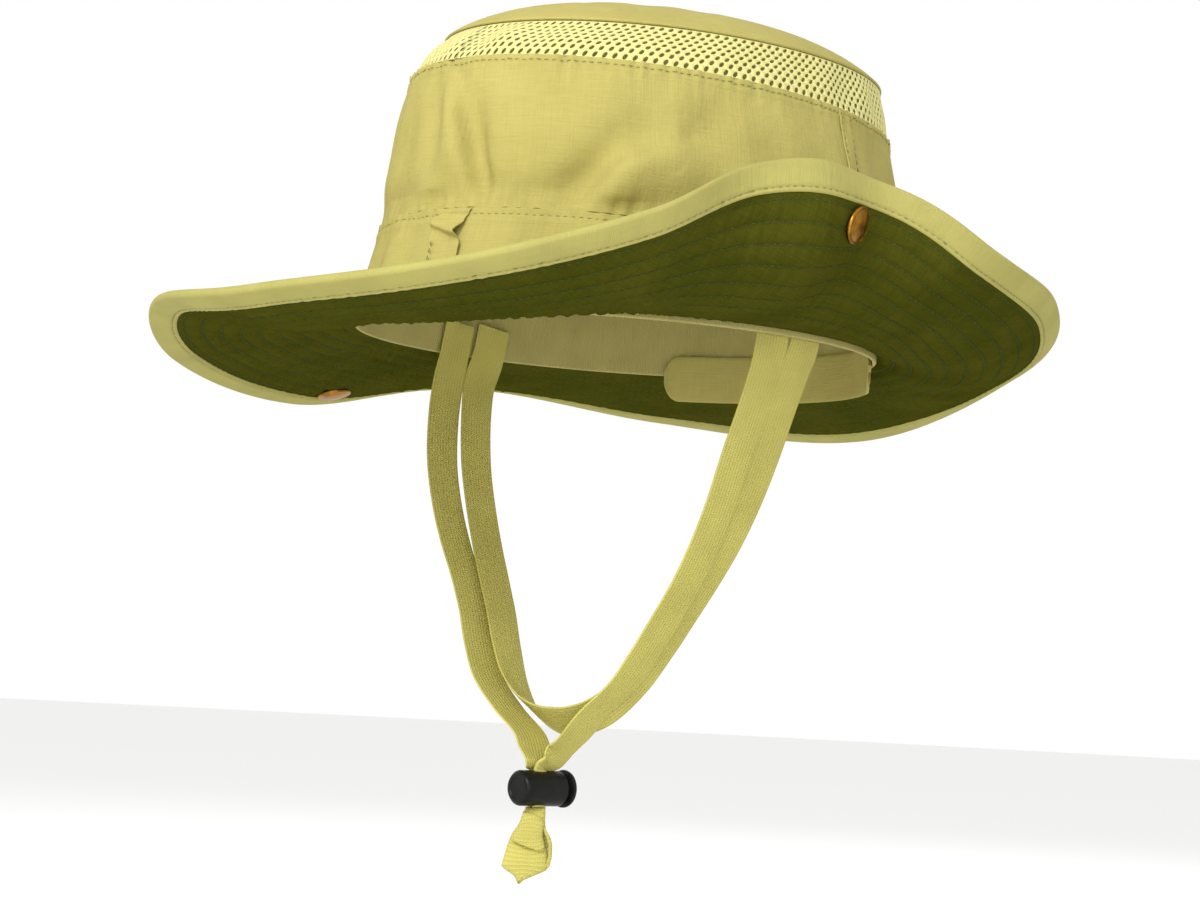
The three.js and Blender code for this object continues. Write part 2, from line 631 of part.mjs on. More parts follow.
function snap(side) {
  const under = -(brimUnderside + SNAP_CAP_STANDOFF);
  const over = brimUnderside + SNAP_SOCKET_STANDOFF;
  const place = snapFrame(side);
  return aimed(lathe([
    [0, under - SNAP_CAP_HEIGHT],
    ...CAP_PROFILE.map((row) => [SNAP_CAP_RADIUS * row.radius, under - SNAP_CAP_HEIGHT * row.height]),
    [SNAP_CAP_RADIUS, under],
    [SNAP_POST_RADIUS, under],
    [SNAP_POST_RADIUS, over],
    [SNAP_SOCKET_RADIUS, over],
    [SNAP_SOCKET_RADIUS, over + SNAP_SOCKET_HEIGHT],
    [0, over + SNAP_SOCKET_HEIGHT],
  ]), place.point, place.normal);
}

function stud(side) {
  const place = studPlace(side);
  const face = CLOTH / 2 + SNAP_SOCKET_STANDOFF;
  const knob = face + STUD_PLATE + STUD_KNOB;
  return aimed(lathe([
    [0, -face - STUD_PLATE],
    [SNAP_SOCKET_RADIUS, -face - STUD_PLATE],
    [SNAP_SOCKET_RADIUS, -face],
    [SNAP_POST_RADIUS, -face],
    [SNAP_POST_RADIUS, face],
    [SNAP_SOCKET_RADIUS, face],
    [SNAP_SOCKET_RADIUS, face + STUD_PLATE],
    [SNAP_POST_RADIUS, face + STUD_PLATE + STUD_ROUND],
    [SNAP_POST_RADIUS, knob],
    [0, knob + STUD_ROUND],
  ]), place.point, place.normal);
}

add('snap_left', snap(1), BRASS, 0.35, 1);
add('snap_right', snap(-1), BRASS, 0.35, 1);
add('stud_left', stud(1), BRASS, 0.35, 1);
add('stud_right', stud(-1), BRASS, 0.35, 1);

// Straps: a flat section with eight corners is carried along each route
const lockAxis = new THREE.Vector3(Math.cos(rad(LOCK_TURN)), Math.sin(rad(LOCK_TURN)), 0);
const lockAcross = UP.clone().cross(lockAxis);

function strapSection(point, wide, thin, width, thickness) {
  const corners = [[1, 0.3], [0.94, 1], [-0.94, 1], [-1, 0.3], [-1, -0.3], [-0.94, -1], [0.94, -1], [1, -0.3]];
  return corners.map(([a, b]) => point.clone()
    .addScaledVector(wide, a * width / 2).addScaledVector(thin, b * thickness / 2));
}

// Carries the section along a route of rows with x, y, z, lean, tip, width and thickness.
function strap(rows, steps) {
  const curve = new THREE.CatmullRomCurve3(rows.map((row) => new THREE.Vector3(row.x, row.y, row.z)));
  const sections = Array.from({ length: steps + 1 }, (_, i) => {
    const share = i / steps * (rows.length - 1);
    const low = Math.min(Math.floor(share), rows.length - 2);
    const mix = (column) => THREE.MathUtils.lerp(rows[low][column], rows[low + 1][column], share - low);
    const tangent = curve.getTangent(i / steps);
    const turn = rad(mix('lean'));
    const wide = new THREE.Vector3(-Math.sin(turn), Math.cos(turn), 0);
    wide.multiplyScalar(Math.cos(rad(mix('tip')))).setZ(-Math.sin(rad(mix('tip'))));
    wide.addScaledVector(tangent, -wide.dot(tangent)).normalize();
    return strapSection(curve.getPoint(i / steps), wide, tangent.clone().cross(wide), mix('width'), mix('thickness'));
  });
  return loft(sections, false);
}

const flat = { width: STRAP_WIDTH, thickness: STRAP_THICKNESS };

function mirrored(row, side) {
  return { ...row, ...flat, x: side * row.x, y: row.y + side * row.ahead, lean: side * row.lean };
}

function frontStrap(side) {
  const rows = FRONT_STRAP.map((row) => mirrored(row, side));
  const bunch = { width: STRAP_BUNCH_WIDTH, thickness: STRAP_BUNCH_THICKNESS, lean: LOCK_TURN - 90, tip: 0 };
  const lockRow = (z) => {
    const place = LOCK_CENTRE.clone().addScaledVector(lockAcross, -side * (STRAP_BUNCH_THICKNESS + GAP) / 2);
    return { ...bunch, x: place.x, y: place.y, z: LOCK_CENTRE.z + z };
  };
  rows[rows.length - 1].width = STRAP_GATHERED_WIDTH;
  const lockRows = [LOCK_RADIUS + 3 * GAP, 3, -3, -LOCK_RADIUS - GAP].map(lockRow);
  return strap([...rows, ...lockRows], rows.length + lockRows.length - 1);
}

function underChinStrap() {
  const left = UNDER_CHIN_STRAP.map((row) => mirrored(row, 1));
  const right = UNDER_CHIN_STRAP.slice(0, -1).toReversed().map((row) => mirrored(row, -1));
  return strap([...left, ...right], STRAP_STEPS_UNDER_CHIN);
}

add('front_strap_left', frontStrap(1), BRAID);
add('front_strap_right', frontStrap(-1), BRAID);
add('under_chin_strap', underChinStrap(), BRAID);

// Cord lock: a barrel with a blind bore and a sprung plunger, both slotted for the straps
const bore = LOCK_RADIUS - LOCK_WALL;
const shaft = bore - GAP;
const slotAcross = 2 * STRAP_BUNCH_THICKNESS + 3 * GAP;
const slotAlong = STRAP_BUNCH_WIDTH + 2 * GAP;
const barrelEnd = LOCK_LENGTH / 2;

function slotTool(along, shift) {
  const box = new THREE.BoxGeometry(slotAcross, along, 4 * LOCK_RADIUS);
  return box.translate(0, shift, 0);
}

// Places a shape whose length runs along +Y on the lock's axis.
function onLock(geometry) {
  const turn = new THREE.Matrix4().makeBasis(lockAcross.clone().negate(), lockAxis, UP);
  return geometry.applyMatrix4(turn.setPosition(LOCK_CENTRE));
}

function lockBarrel() {
  const barrel = lathe([
    [0, -barrelEnd],
    [LOCK_RADIUS - LOCK_CHAMFER, -barrelEnd],
    [LOCK_RADIUS, -barrelEnd + LOCK_CHAMFER],
    [LOCK_RADIUS, barrelEnd],
    [bore, barrelEnd],
    [bore, -barrelEnd + LOCK_END_WALL],
    [0, -barrelEnd + LOCK_END_WALL],
  ]);
  return onLock(cut(barrel, [slotTool(slotAlong, 0)]));
}

function lockPlunger() {
  const reach = -barrelEnd + LOCK_END_WALL + LOCK_TRAVEL + GAP;
  const face = barrelEnd + LOCK_TRAVEL + GAP;
  const button = LOCK_RADIUS + LOCK_BUTTON_LIP;
  const plunger = lathe([
    [0, reach],
    [shaft, reach],
    [shaft, face],
    [button, face],
    [button, face + LOCK_BUTTON_LENGTH - LOCK_BUTTON_CHAMFER],
    [button - LOCK_BUTTON_CHAMFER, face + LOCK_BUTTON_LENGTH],
    [0, face + LOCK_BUTTON_LENGTH],
  ]);
  return onLock(cut(plunger, [slotTool(slotAlong + LOCK_TRAVEL, LOCK_TRAVEL / 2)]));
}

add('lock_barrel', lockBarrel(), BLACK, 0.4);
add('lock_plunger', lockPlunger(), BLACK, 0.4);

// Knot: rounded sections stacked down from the lock
function knot() {
  const knotWide = new THREE.Vector3(Math.cos(rad(KNOT_TURN)), Math.sin(rad(KNOT_TURN)), 0);
  const knotDeep = UP.clone().cross(knotWide);
  const top = LOCK_CENTRE.z - LOCK_RADIUS - 2 * GAP;
  const sections = KNOT_SECTIONS.map((row) => {
    const place = LOCK_CENTRE.clone().setZ(top - row.drop * KNOT_HEIGHT);
    place.addScaledVector(knotWide, row.across * KNOT_WIDTH);
    return Array.from({ length: 10 }, (_, i) => {
      const a = i * Math.PI / 5;
      return place.clone().addScaledVector(knotWide, Math.cos(a) * row.width * KNOT_WIDTH / 2)
        .addScaledVector(knotDeep, Math.sin(a) * row.depth * KNOT_DEPTH / 2);
    });
  });
  return loft(sections, false);
}

add('strap_knot', knot(), BRAID);

export default hat;
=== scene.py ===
"""Dresses the outback hat: woven cloth, net, stitching, snaps, braid straps, cord lock and knot."""
from collections import namedtuple

import bpy
import numpy as np
from mathutils import Matrix, Vector


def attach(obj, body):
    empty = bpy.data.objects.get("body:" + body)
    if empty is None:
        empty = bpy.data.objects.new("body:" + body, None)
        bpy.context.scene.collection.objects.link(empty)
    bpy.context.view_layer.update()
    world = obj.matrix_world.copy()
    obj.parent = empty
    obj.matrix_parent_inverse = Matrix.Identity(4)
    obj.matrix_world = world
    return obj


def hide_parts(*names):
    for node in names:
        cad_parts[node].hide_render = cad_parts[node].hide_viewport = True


bl_info = {
    "name": "Outback Hat",
    "version": (1, 0, 0),
    "blender": (4, 5, 0),
    "location": "View3D > Sidebar > Hat",
    "description": "Makes the cloth, net, stitching, snaps and chin strap of a sun hat",
    "category": "Object",
}

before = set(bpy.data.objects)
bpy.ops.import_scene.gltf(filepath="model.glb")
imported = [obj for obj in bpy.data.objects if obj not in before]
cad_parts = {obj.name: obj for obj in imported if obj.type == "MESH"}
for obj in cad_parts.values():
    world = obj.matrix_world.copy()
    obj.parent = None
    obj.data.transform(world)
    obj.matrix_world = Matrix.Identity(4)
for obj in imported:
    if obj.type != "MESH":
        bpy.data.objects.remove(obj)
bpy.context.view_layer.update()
BODY = "hat"
BUTTON_BODY = "lock_button"
TAU = 2 * np.pi
MM = 0.001

# Sizes and colours that a user would change


def length(name, description, default):
    """A property for a length in metres."""
    return bpy.props.FloatProperty(
        name=name, description=description, default=default, min=0, precision=5, unit="LENGTH")


def colour(name, description, default):
    """A property for a colour."""
    return bpy.props.FloatVectorProperty(
        name=name, description=description, default=default, size=3, min=0, max=1, subtype="COLOR")


def count(name, description, default):
    """A property for a whole number."""
    return bpy.props.IntProperty(name=name, description=description, default=default, min=1)


class HatSizes(bpy.types.PropertyGroup):
    """The sizes of the hat, in metres."""

    head_length: length("Head length", "Length of the head opening outside the cloth", 0.212)
    head_width: length("Head width", "Width of the head opening outside the cloth", 0.172)
    crown_height: length("Crown height", "Height of the crown's top over the brim seam", 0.1175)
    cloth: length("Cloth space", "Thickness that each layer of cloth may fill", 0.0012)
    gap: length("Gap", "Clearance between layers", 0.0003)
    ply: length("Ply", "Thickness of one layer of cloth as sewn", 0.0006)
    brim_face: length("Brim face", "Distance of the brim's surfaces from its middle", 0.00085)
    binding_face: length("Binding face", "Distance of the tape's surfaces from the middle", 0.00165)
    brim_width: length("Brim width", "Width of the brim along the cloth", 0.072)
    binding_width: length("Binding width", "Width of the tape on the brim's edge", 0.0105)
    binding_cloth: length("Binding space", "Thickness that the tape may fill", 0.001)
    first_row: length("First row", "Distance of the first row of stitches from the seam", 0.0055)
    stitch: length("Stitch", "Length of one stitch with its gap", 0.0027)
    thread: length("Thread", "Width of the sewing thread", 0.0005)
    stitch_rows: count("Stitch rows", "Rows of stitches round the brim", 9)
    net_columns: count("Net columns", "Holes round the vent's net", 156)
    net_rows: count("Net rows", "Rows of holes in the vent's net", 8)
    seam_strip: length("Seam strip", "Width of the strips over the side seams", 0.009)
    snap_inset: length("Snap inset", "Distance of the snaps from the brim's edge", 0.0175)
    snap_radius: length("Snap radius", "Radius of a snap's cap", 0.0066)
    strap_width: length("Strap width", "Width of the chin strap's braid", 0.015)
    braid_ribs: count("Braid ribs", "Ribs across the chin strap's braid", 11)
    lock_radius: length("Lock radius", "Radius of the cord lock's barrel", 0.0063)
    lock_length: length("Lock length", "Length of the cord lock's barrel", 0.019)


class HatColours(bpy.types.PropertyGroup):
    """The colours of the hat's cloths and fittings."""

    khaki: colour("Khaki", "Cloth of the crown and the brim's upper side", (0.465, 0.405, 0.128))
    khaki_shade: colour("Khaki shade", "The darker threads of the khaki cloth", (0.36, 0.312, 0.09))
    olive: colour("Olive", "Cloth of the brim's underside", (0.074, 0.072, 0.0075))
    olive_shade: colour("Olive shade", "Darker threads of the olive cloth", (0.034, 0.04, 0.0035))
    binding: colour("Binding", "Tape on the brim's edge", (0.41, 0.375, 0.112))
    net: colour("Net", "Knit of the vent", (0.8, 0.75, 0.3))
    khaki_thread: colour("Khaki thread", "Thread on the khaki cloth", (0.31, 0.295, 0.115))
    green_thread: colour("Green thread", "Thread on the olive cloth", (0.06, 0.095, 0.035))
    sweatband: colour("Sweatband", "Tape inside the head opening", (0.42, 0.37, 0.13))
    braid: colour("Braid", "Chin strap", (0.6, 0.54, 0.142))
    brass: colour("Brass", "Snaps", (0.22, 0.105, 0.012))
    plastic: colour("Plastic", "Cord lock", (0.006, 0.006, 0.005))


# Tables of the hat's form, as shares of the sizes

Ring = namedtuple("Ring", "height length width back drop")
CROWN_RINGS = [
    Ring(0, 1, 1, 0, 0),
    Ring(0.2478, 0.955, 0.967, 0.062, 0.05),
    Ring(0.4344, 0.98, 0.985, 0.094, 0.01),
    Ring(0.7177, 0.94, 0.872, 0.118, 0.04),
    Ring(0.8625, 0.865, 0.802, 0.164, 0.01),
]

Fold = namedtuple("Fold", "angle lean spread foot head depth")
WALL_FOLDS = [
    Fold(2, 7, 5, 0.05, 0.95, 0.012),
    Fold(11, -6, 4, 0.1, 0.9, -0.014),
    Fold(-16, 4, 6, 0, 0.8, -0.01),
    Fold(38, 14, 6, 0, 0.5, -0.012),
    Fold(48, 10, 6, 0, 0.55, 0.014),
    Fold(66, 12, 6, 0.1, 0.7, -0.01),
    Fold(122, -6, 7, 0.1, 0.9, -0.014),
    Fold(150, 5, 8, 0, 0.9, 0.01),
    Fold(205, -5, 8, 0.1, 1, -0.012),
    Fold(243, 6, 7, 0, 0.8, -0.012),
    Fold(290, -8, 7, 0.1, 0.9, 0.012),
    Fold(318, 9, 6, 0, 0.7, -0.012),
]

Slope = namedtuple("Slope", "angle slope")
BRIM_SEAM_SLOPES = [
    Slope(0, -34), Slope(45, -22), Slope(90, 3), Slope(135, -28),
    Slope(180, -24), Slope(225, -14), Slope(270, -20), Slope(315, -18),
]
BRIM_EDGE_SLOPES = [
    Slope(0, 29), Slope(28, 38), Slope(50, 65), Slope(66, 106), Slope(82, 95),
    Slope(100, 46), Slope(130, 57), Slope(160, 34), Slope(190, -10), Slope(220, -8),
    Slope(250, 8), Slope(280, -14), Slope(310, -4), Slope(335, 24),
]

Crease = namedtuple("Crease", "angle spread depth foot head")
BRIM_CREASE = Crease(81, 7, 0.0046, 0.15, 0.5)

SEAM_ANGLE = 102
SNAP_ANGLE = 82.5
SNAP_TILT = 0.16
STUD_LEVEL = 2
TAB_HALF_ANGLE = 40
TIP_FLATNESS = 4

# Routes of the straps at the wearer's left, in millimetres and degrees, as the frame has them
Knee = namedtuple("Knee", "x y z lean tip width thickness")


def knee(x, y, z, lean=0, tip=0, width=15, thickness=1.4):
    """One row of a strap's route: its place, how it leans and tips, and its cross-section."""
    return Knee(x, y, z, lean, tip, width, thickness)


LOCK_CENTRE = Vector((0, -29.8, -163.1)) * MM
LOCK_TURN = 87
LOCK_TRAVEL = 1.8 * MM
LOCK_HEIGHTS = (7.2, 3, -3, -6.6)
LOCK_SPREAD = 1.3
KNOT_TURN = 45
FRONT_STRAP = [
    knee(80.3, -5.8, 9, lean=-3), knee(81.1, -7.3, -3.6, lean=-3), knee(81, -9.5, -13),
    knee(79.4, -12.5, -26), knee(75, -16, -45), knee(69.6, -17, -62),
    knee(63.4, -17.3, -76), knee(56.2, -17.6, -89), knee(49.2, -19.2, -101),
    knee(42.6, -21.8, -113), knee(34.4, -24, -125), knee(21.8, -25.4, -135.6),
]
FRONT_STRAP_ENDS = {
    1: [knee(10.4, -23, -144.5), knee(4.4, -24.4, -150), knee(2.6, -27.4, -153.8, width=10)],
    -1: [knee(-8.2, -26.9, -144.5), knee(-3, -29, -150), knee(-0.2, -30.6, -154, width=10.5)],
}
UNDER_CHIN_STRAP = [
    knee(80, 11.6, 9, lean=5), knee(81, 9.8, -3.6, lean=4), knee(80.6, 6, -13, lean=2),
    knee(78, 2.8, -26), knee(73.2, -0.2, -45), knee(67.4, -2, -61),
    knee(61, -3.8, -75), knee(53.8, -6, -88), knee(46.4, -8.6, -100, tip=4),
    knee(38.6, -12, -113, tip=10), knee(29.4, -15.4, -125.5, tip=20),
    knee(16, -18.4, -135.8, tip=34), knee(0, -19.6, -139.4, tip=42),
]


def sizes():
    """The sizes set in the panel."""
    return bpy.context.scene.hat_sizes


def colours():
    """The colours set in the panel."""
    return bpy.context.scene.hat_colours


# Surfaces of the hat, worked out for whole arrays of angles and distances


def column(rows, name):
    """One column of a table."""
    return np.array([getattr(row, name) for row in rows], float)


def smooth(low, high, value):
    """Rises from 0 at low to 1 at high without a kink."""
    t = np.clip((value - low) / (high - low), 0, 1)
    return t * t * (3 - 2 * t)


def around(rows, degrees):
    """A smooth closed curve through a table of slopes that goes once round the hat."""
    angles, values = column(rows, "angle"), column(rows, "slope")
    angles = np.concatenate([angles[-1:] - 360, angles, angles[:2] + 360])
    values = np.concatenate([values[-1:], values, values[:2]])
    rise = (values[2:] - values[:-2]) / (angles[2:] - angles[:-2])
    turn = np.mod(degrees, 360)
    low = np.searchsorted(angles, turn, side="right") - 1
    span = angles[low + 1] - angles[low]
    t = (turn - angles[low]) / span
    s = t * t * (3 - 2 * t)
    value = values[low] * (1 - s) + values[low + 1] * s
    return value + t * (1 - t) * span * ((1 - t) * rise[low - 1] - t * rise[low])


def ring_value(name, level):
    """A smooth curve through the crown's rings, where level counts them from 0."""
    values = column(CROWN_RINGS, name)
    last = len(values) - 1
    ends = np.concatenate([values[:1], values, values[-1:]])
    steps = np.where(np.isin(np.arange(last + 1), [0, last]), 1, 2)
    rise = (ends[2:] - ends[:-2]) / steps
    low = np.clip(np.floor(level).astype(int), 0, last - 1)
    t = level - low
    s = t * t * (3 - 2 * t)
    value = values[low] * (1 - s) + values[low + 1] * s
    return value + t * (1 - t) * ((1 - t) * rise[low] - t * rise[low + 1])


def outward(degrees):
    """The outward direction of the head opening's oval."""
    a = np.radians(degrees)
    x, y = np.sin(a) / sizes().head_width, -np.cos(a) / sizes().head_length
    away = np.stack([x, y, np.zeros_like(x)], -1)
    return away / np.linalg.norm(away, axis=-1, keepdims=True)


def wall_fold(degrees, share):
    """How far the soft folds push the crown's wall out, at a share of its height."""
    depth = np.zeros_like(share)
    for fold in WALL_FOLDS:
        centre = fold.angle + fold.lean * (share - 0.5)
        away = np.mod(degrees - centre + 180, 360) - 180
        along = smooth(fold.foot - 0.1, fold.foot + 0.2, share)
        along = along * (1 - smooth(fold.head - 0.2, fold.head + 0.1, share))
        depth = depth + fold.depth * sizes().head_width * along * np.exp(-(away / fold.spread) ** 2)
    return depth * np.clip(6 * np.minimum(share, 1 - share), 0, 1)


def crown_point(degrees, level, offset=0.0):
    """Points of the crown: level 0 to 1 is the band, 1 to 3 the wall, 3 to 4 the vent's net."""
    degrees, level = np.broadcast_arrays(np.asarray(degrees, float), np.asarray(level, float))
    a = np.radians(degrees)
    size = sizes()
    ahead = ring_value("length", level) * np.cos(a) - ring_value("back", level)
    y = -size.head_length / 2 * ahead
    x = size.head_width / 2 * ring_value("width", level) * np.sin(a)
    z = ring_value("height", level) * size.crown_height - ring_value("drop", level) * y
    inside = (level > 1) & (level < 3)
    fold = np.where(inside, wall_fold(degrees, np.clip((level - 1) / 2, 0, 1)), 0)
    return np.stack([x, y, z], -1) + outward(degrees) * (offset + fold)[..., None]


def mean_radius():
    """The radius of a circle about as long as the head opening's oval."""
    return (sizes().head_length + sizes().head_width) / 4


def brim_frame(degrees, reach):
    """Points of the brim's middle at a reach along the cloth, with the two directions there."""
    degrees, reach = np.broadcast_arrays(np.asarray(degrees, float), np.asarray(reach, float))
    start = np.radians(around(BRIM_SEAM_SLOPES, degrees))
    end = np.radians(around(BRIM_EDGE_SLOPES, degrees))
    turn = (end - start) / sizes().brim_width
    past = np.maximum(reach, 0)
    steps = 12
    out, up = np.minimum(reach, 0), np.zeros_like(past)
    for i in range(steps):
        slope = start + turn * past * (i + 0.5) / steps
        out = out + np.cos(slope) * past / steps
        up = up + np.sin(slope) * past / steps
    slope = np.where(reach > 0, start + turn * past, 0)
    away = outward(degrees)
    point = crown_point(degrees, 0, out)
    point[..., 2] = up
    rise = np.stack([np.zeros_like(slope), np.zeros_like(slope), np.sin(slope)], -1)
    along = away * np.cos(slope)[..., None] + rise
    normal = -away * np.sin(slope)[..., None]
    normal[..., 2] = np.cos(slope)
    crease = BRIM_CREASE
    across = (np.mod(degrees - crease.angle + 180, 360) - 180) / crease.spread
    lift = crease.depth * across * np.exp(0.5 - across ** 2 / 2)
    lift = lift * smooth(crease.foot, crease.head, reach / sizes().brim_width)
    return point + normal * lift[..., None], along, normal


def brim_point(degrees, reach, lift):
    """Points of the brim, lifted off the middle of its two plies."""
    point, _, normal = brim_frame(degrees, reach)
    return point + normal * np.asarray(lift)[..., None]


def ripple(degrees, across, seed, waves=(20, 90), drift=150, terms=8):
    """Uneven waves round the hat that drift with the distance across, mostly between -1 and 1."""
    draw = np.random.default_rng(seed)
    total = np.zeros(np.broadcast(degrees, across).shape)
    for _ in range(terms):
        turns = draw.integers(*waves)
        shift = draw.uniform(-drift, drift)
        total = total + np.sin(turns * np.radians(degrees) + shift * across + draw.uniform(0, TAU))
    return total / terms ** 0.5


def arc_length(points):
    """Distance along a line of points, from its start."""
    steps = np.linalg.norm(np.diff(points, axis=0), axis=1)
    return np.concatenate([[0], np.cumsum(steps)])


def grid_normals(points, closed):
    """Unit normals of a grid of points, closed or open along its first axis."""
    if closed:
        wrapped = np.concatenate([points[-2:-1], points, points[1:2]])
        first = (wrapped[2:] - wrapped[:-2]) / 2
    else:
        first = np.gradient(points, axis=0)
    normals = np.cross(first, np.gradient(points, axis=1))
    return normals / np.maximum(np.linalg.norm(normals, axis=-1, keepdims=True), 1e-12)


# Meshes


def only(piece):
    """Selects one object and makes it the active one."""
    bpy.ops.object.select_all(action="DESELECT")
    piece.select_set(True)
    bpy.context.view_layer.objects.active = piece


def face_outwards(piece):
    """Turns the faces of a closed or single sheet the same way, outwards."""
    only(piece)
    bpy.ops.object.mode_set(mode="EDIT")
    bpy.ops.mesh.select_all(action="SELECT")
    bpy.ops.mesh.normals_make_consistent(inside=False)
    bpy.ops.object.mode_set(mode="OBJECT")


def modified(piece, kind, **settings):
    """Adds a modifier and applies it."""
    only(piece)
    modifier = piece.modifiers.new(kind.title(), kind)
    for name, value in settings.items():
        setattr(modifier, name, value)
    bpy.ops.object.modifier_apply(modifier=modifier.name)


def finished(piece, material, replaced=(), body=BODY, angle=50):
    """Gives a piece its shading, material, slot, body and the nodes that it stands for."""
    only(piece)
    bpy.ops.object.shade_smooth_by_angle(angle=np.radians(angle))
    piece.data.materials.clear()
    piece.data.materials.append(material)
    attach(piece, body)
    if replaced:
        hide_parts(*replaced)
    return piece


def cloth(name, points, uv, wall=0.0, closed=(True, False)):
    """A sheet of cloth: a grid primitive whose points are moved onto a surface, joined along
    the closed axes, and given a wall that grows inwards. Points and uv are columns of rows."""
    across, up = points.shape[0] - 1, points.shape[1] - 1
    bpy.ops.object.select_all(action="DESELECT")
    bpy.ops.mesh.primitive_grid_add(x_subdivisions=across, y_subdivisions=up, size=2)
    piece = bpy.context.active_object
    piece.name = piece.data.name = name
    mesh = piece.data
    flat = np.empty(len(mesh.vertices) * 3)
    mesh.vertices.foreach_get("co", flat)
    place = flat.reshape(-1, 3)
    i = np.rint((place[:, 0] + 1) / 2 * across).astype(int)
    j = np.rint((place[:, 1] + 1) / 2 * up).astype(int)
    corners = np.empty(len(mesh.loops), int)
    mesh.loops.foreach_get("vertex_index", corners)
    mesh.uv_layers.active.data.foreach_set("uv", uv[i, j][corners].ravel())
    mesh.vertices.foreach_set("co", points[i, j].ravel())
    mesh.update()
    if any(closed):
        only(piece)
        bpy.ops.object.mode_set(mode="EDIT")
        bpy.ops.mesh.select_all(action="SELECT")
        bpy.ops.mesh.remove_doubles(threshold=1e-6)
        bpy.ops.object.mode_set(mode="OBJECT")
    if wall:
        modified(piece, "SOLIDIFY", thickness=wall, offset=-1)
    return piece


def mesh_piece(name, points, faces):
    """A piece from a list of points and faces."""
    mesh = bpy.data.meshes.new(name)
    mesh.from_pydata(points.tolist() if hasattr(points, "tolist") else points, [], faces)
    mesh.update()
    piece = bpy.data.objects.new(name, mesh)
    bpy.context.scene.collection.objects.link(piece)
    return piece


def turned(name, profile, sides=48):
    """A round piece: a circle that is extruded and scaled through rows of radius and height."""
    bpy.ops.object.select_all(action="DESELECT")
    radius, height = profile[0]
    bpy.ops.mesh.primitive_circle_add(vertices=sides, radius=radius, location=(0, 0, height))
    piece = bpy.context.active_object
    piece.name = piece.data.name = name
    bpy.ops.object.transform_apply(location=True)
    bpy.ops.object.mode_set(mode="EDIT")
    bpy.ops.mesh.select_all(action="SELECT")
    for new_radius, new_height in profile[1:]:
        bpy.ops.mesh.extrude_region_move(
            TRANSFORM_OT_translate={"value": (0, 0, new_height - height)})
        share = new_radius / radius
        bpy.ops.transform.resize(value=(share, share, 1), center_override=(0, 0, new_height))
        radius, height = new_radius, new_height
    bpy.ops.mesh.select_all(action="SELECT")
    bpy.ops.mesh.fill_holes(sides=0)
    bpy.ops.object.mode_set(mode="OBJECT")
    face_outwards(piece)
    return piece


def placed(piece, origin, direction):
    """Turns a piece made along +Z to a direction, moves it there and applies its place."""
    turn = Vector((0, 0, 1)).rotation_difference(Vector(direction))
    piece.data.transform(Matrix.Translation(Vector(origin)) @ turn.to_matrix().to_4x4())
    piece.data.update()
    return piece


STITCH_SHARE = 0.74


def stitch_template():
    """One stitch along X, as rings of points and faces: a short bowed thread with pointed ends."""
    sides = 5
    along = [-0.25, 0.25]
    girth = [0.97, 0.97]
    points = [(-0.5, 0, -0.4)]
    for x, r in zip(along, girth):
        turns = [TAU * k / sides for k in range(sides)]
        points += [(x, r * np.cos(a) / 2, r * (np.sin(a) / 2 + 0.1)) for a in turns]
    points.append((0.5, 0, -0.4))
    faces = []
    for k in range(sides):
        after = (k + 1) % sides
        faces.append((0, 1 + after, 1 + k))
        for ring in range(len(along) - 1):
            base = 1 + ring * sides
            faces.append((base + k, base + after, base + sides + after, base + sides + k))
        base = 1 + (len(along) - 1) * sides
        faces.append((base + k, base + after, len(points) - 1))
    return np.array(points), faces


def stitches(name, runs, material):
    """Rows of stitches as one piece. A run is a line of points with the normals of its cloth."""
    template, template_faces = stitch_template()
    pitch, thread = sizes().stitch, sizes().thread
    points, faces = [], []
    for line, normals in runs:
        distance = arc_length(line)
        total = max(int(distance[-1] / pitch), 1)
        middles = (np.arange(total) + 0.5) * distance[-1] / total

        def at(values, where):
            return np.stack([np.interp(where, distance, values[:, k]) for k in range(3)], -1)

        centre, up = at(line, middles), at(normals, middles)
        ahead = at(line, middles + pitch / 4) - at(line, middles - pitch / 4)
        ahead /= np.linalg.norm(ahead, axis=1, keepdims=True)
        side = np.cross(up, ahead)
        side /= np.linalg.norm(side, axis=1, keepdims=True)
        up = np.cross(ahead, side)
        for k in range(total):
            shape = (template[:, :1] * ahead[k] * pitch * STITCH_SHARE
                     + template[:, 1:2] * side[k] * thread + template[:, 2:] * up[k] * thread)
            base = len(points) * len(template)
            points.append(shape + centre[k])
            faces += [tuple(base + v for v in face) for face in template_faces]
    piece = mesh_piece(name, np.concatenate(points), faces)
    return finished(piece, material, angle=80)


# Materials


class Value:
    """A socket of a material that Python's arithmetic extends with Math nodes."""

    def __init__(self, shader, socket):
        self.shader = shader
        self.socket = socket

    def __add__(self, other):
        return self.shader.math("ADD", self, other)

    def __radd__(self, other):
        return self.shader.math("ADD", other, self)

    def __sub__(self, other):
        return self.shader.math("SUBTRACT", self, other)

    def __rsub__(self, other):
        return self.shader.math("SUBTRACT", other, self)

    def __mul__(self, other):
        return self.shader.math("MULTIPLY", self, other)

    def __rmul__(self, other):
        return self.shader.math("MULTIPLY", other, self)

    def __truediv__(self, other):
        return self.shader.math("DIVIDE", self, other)


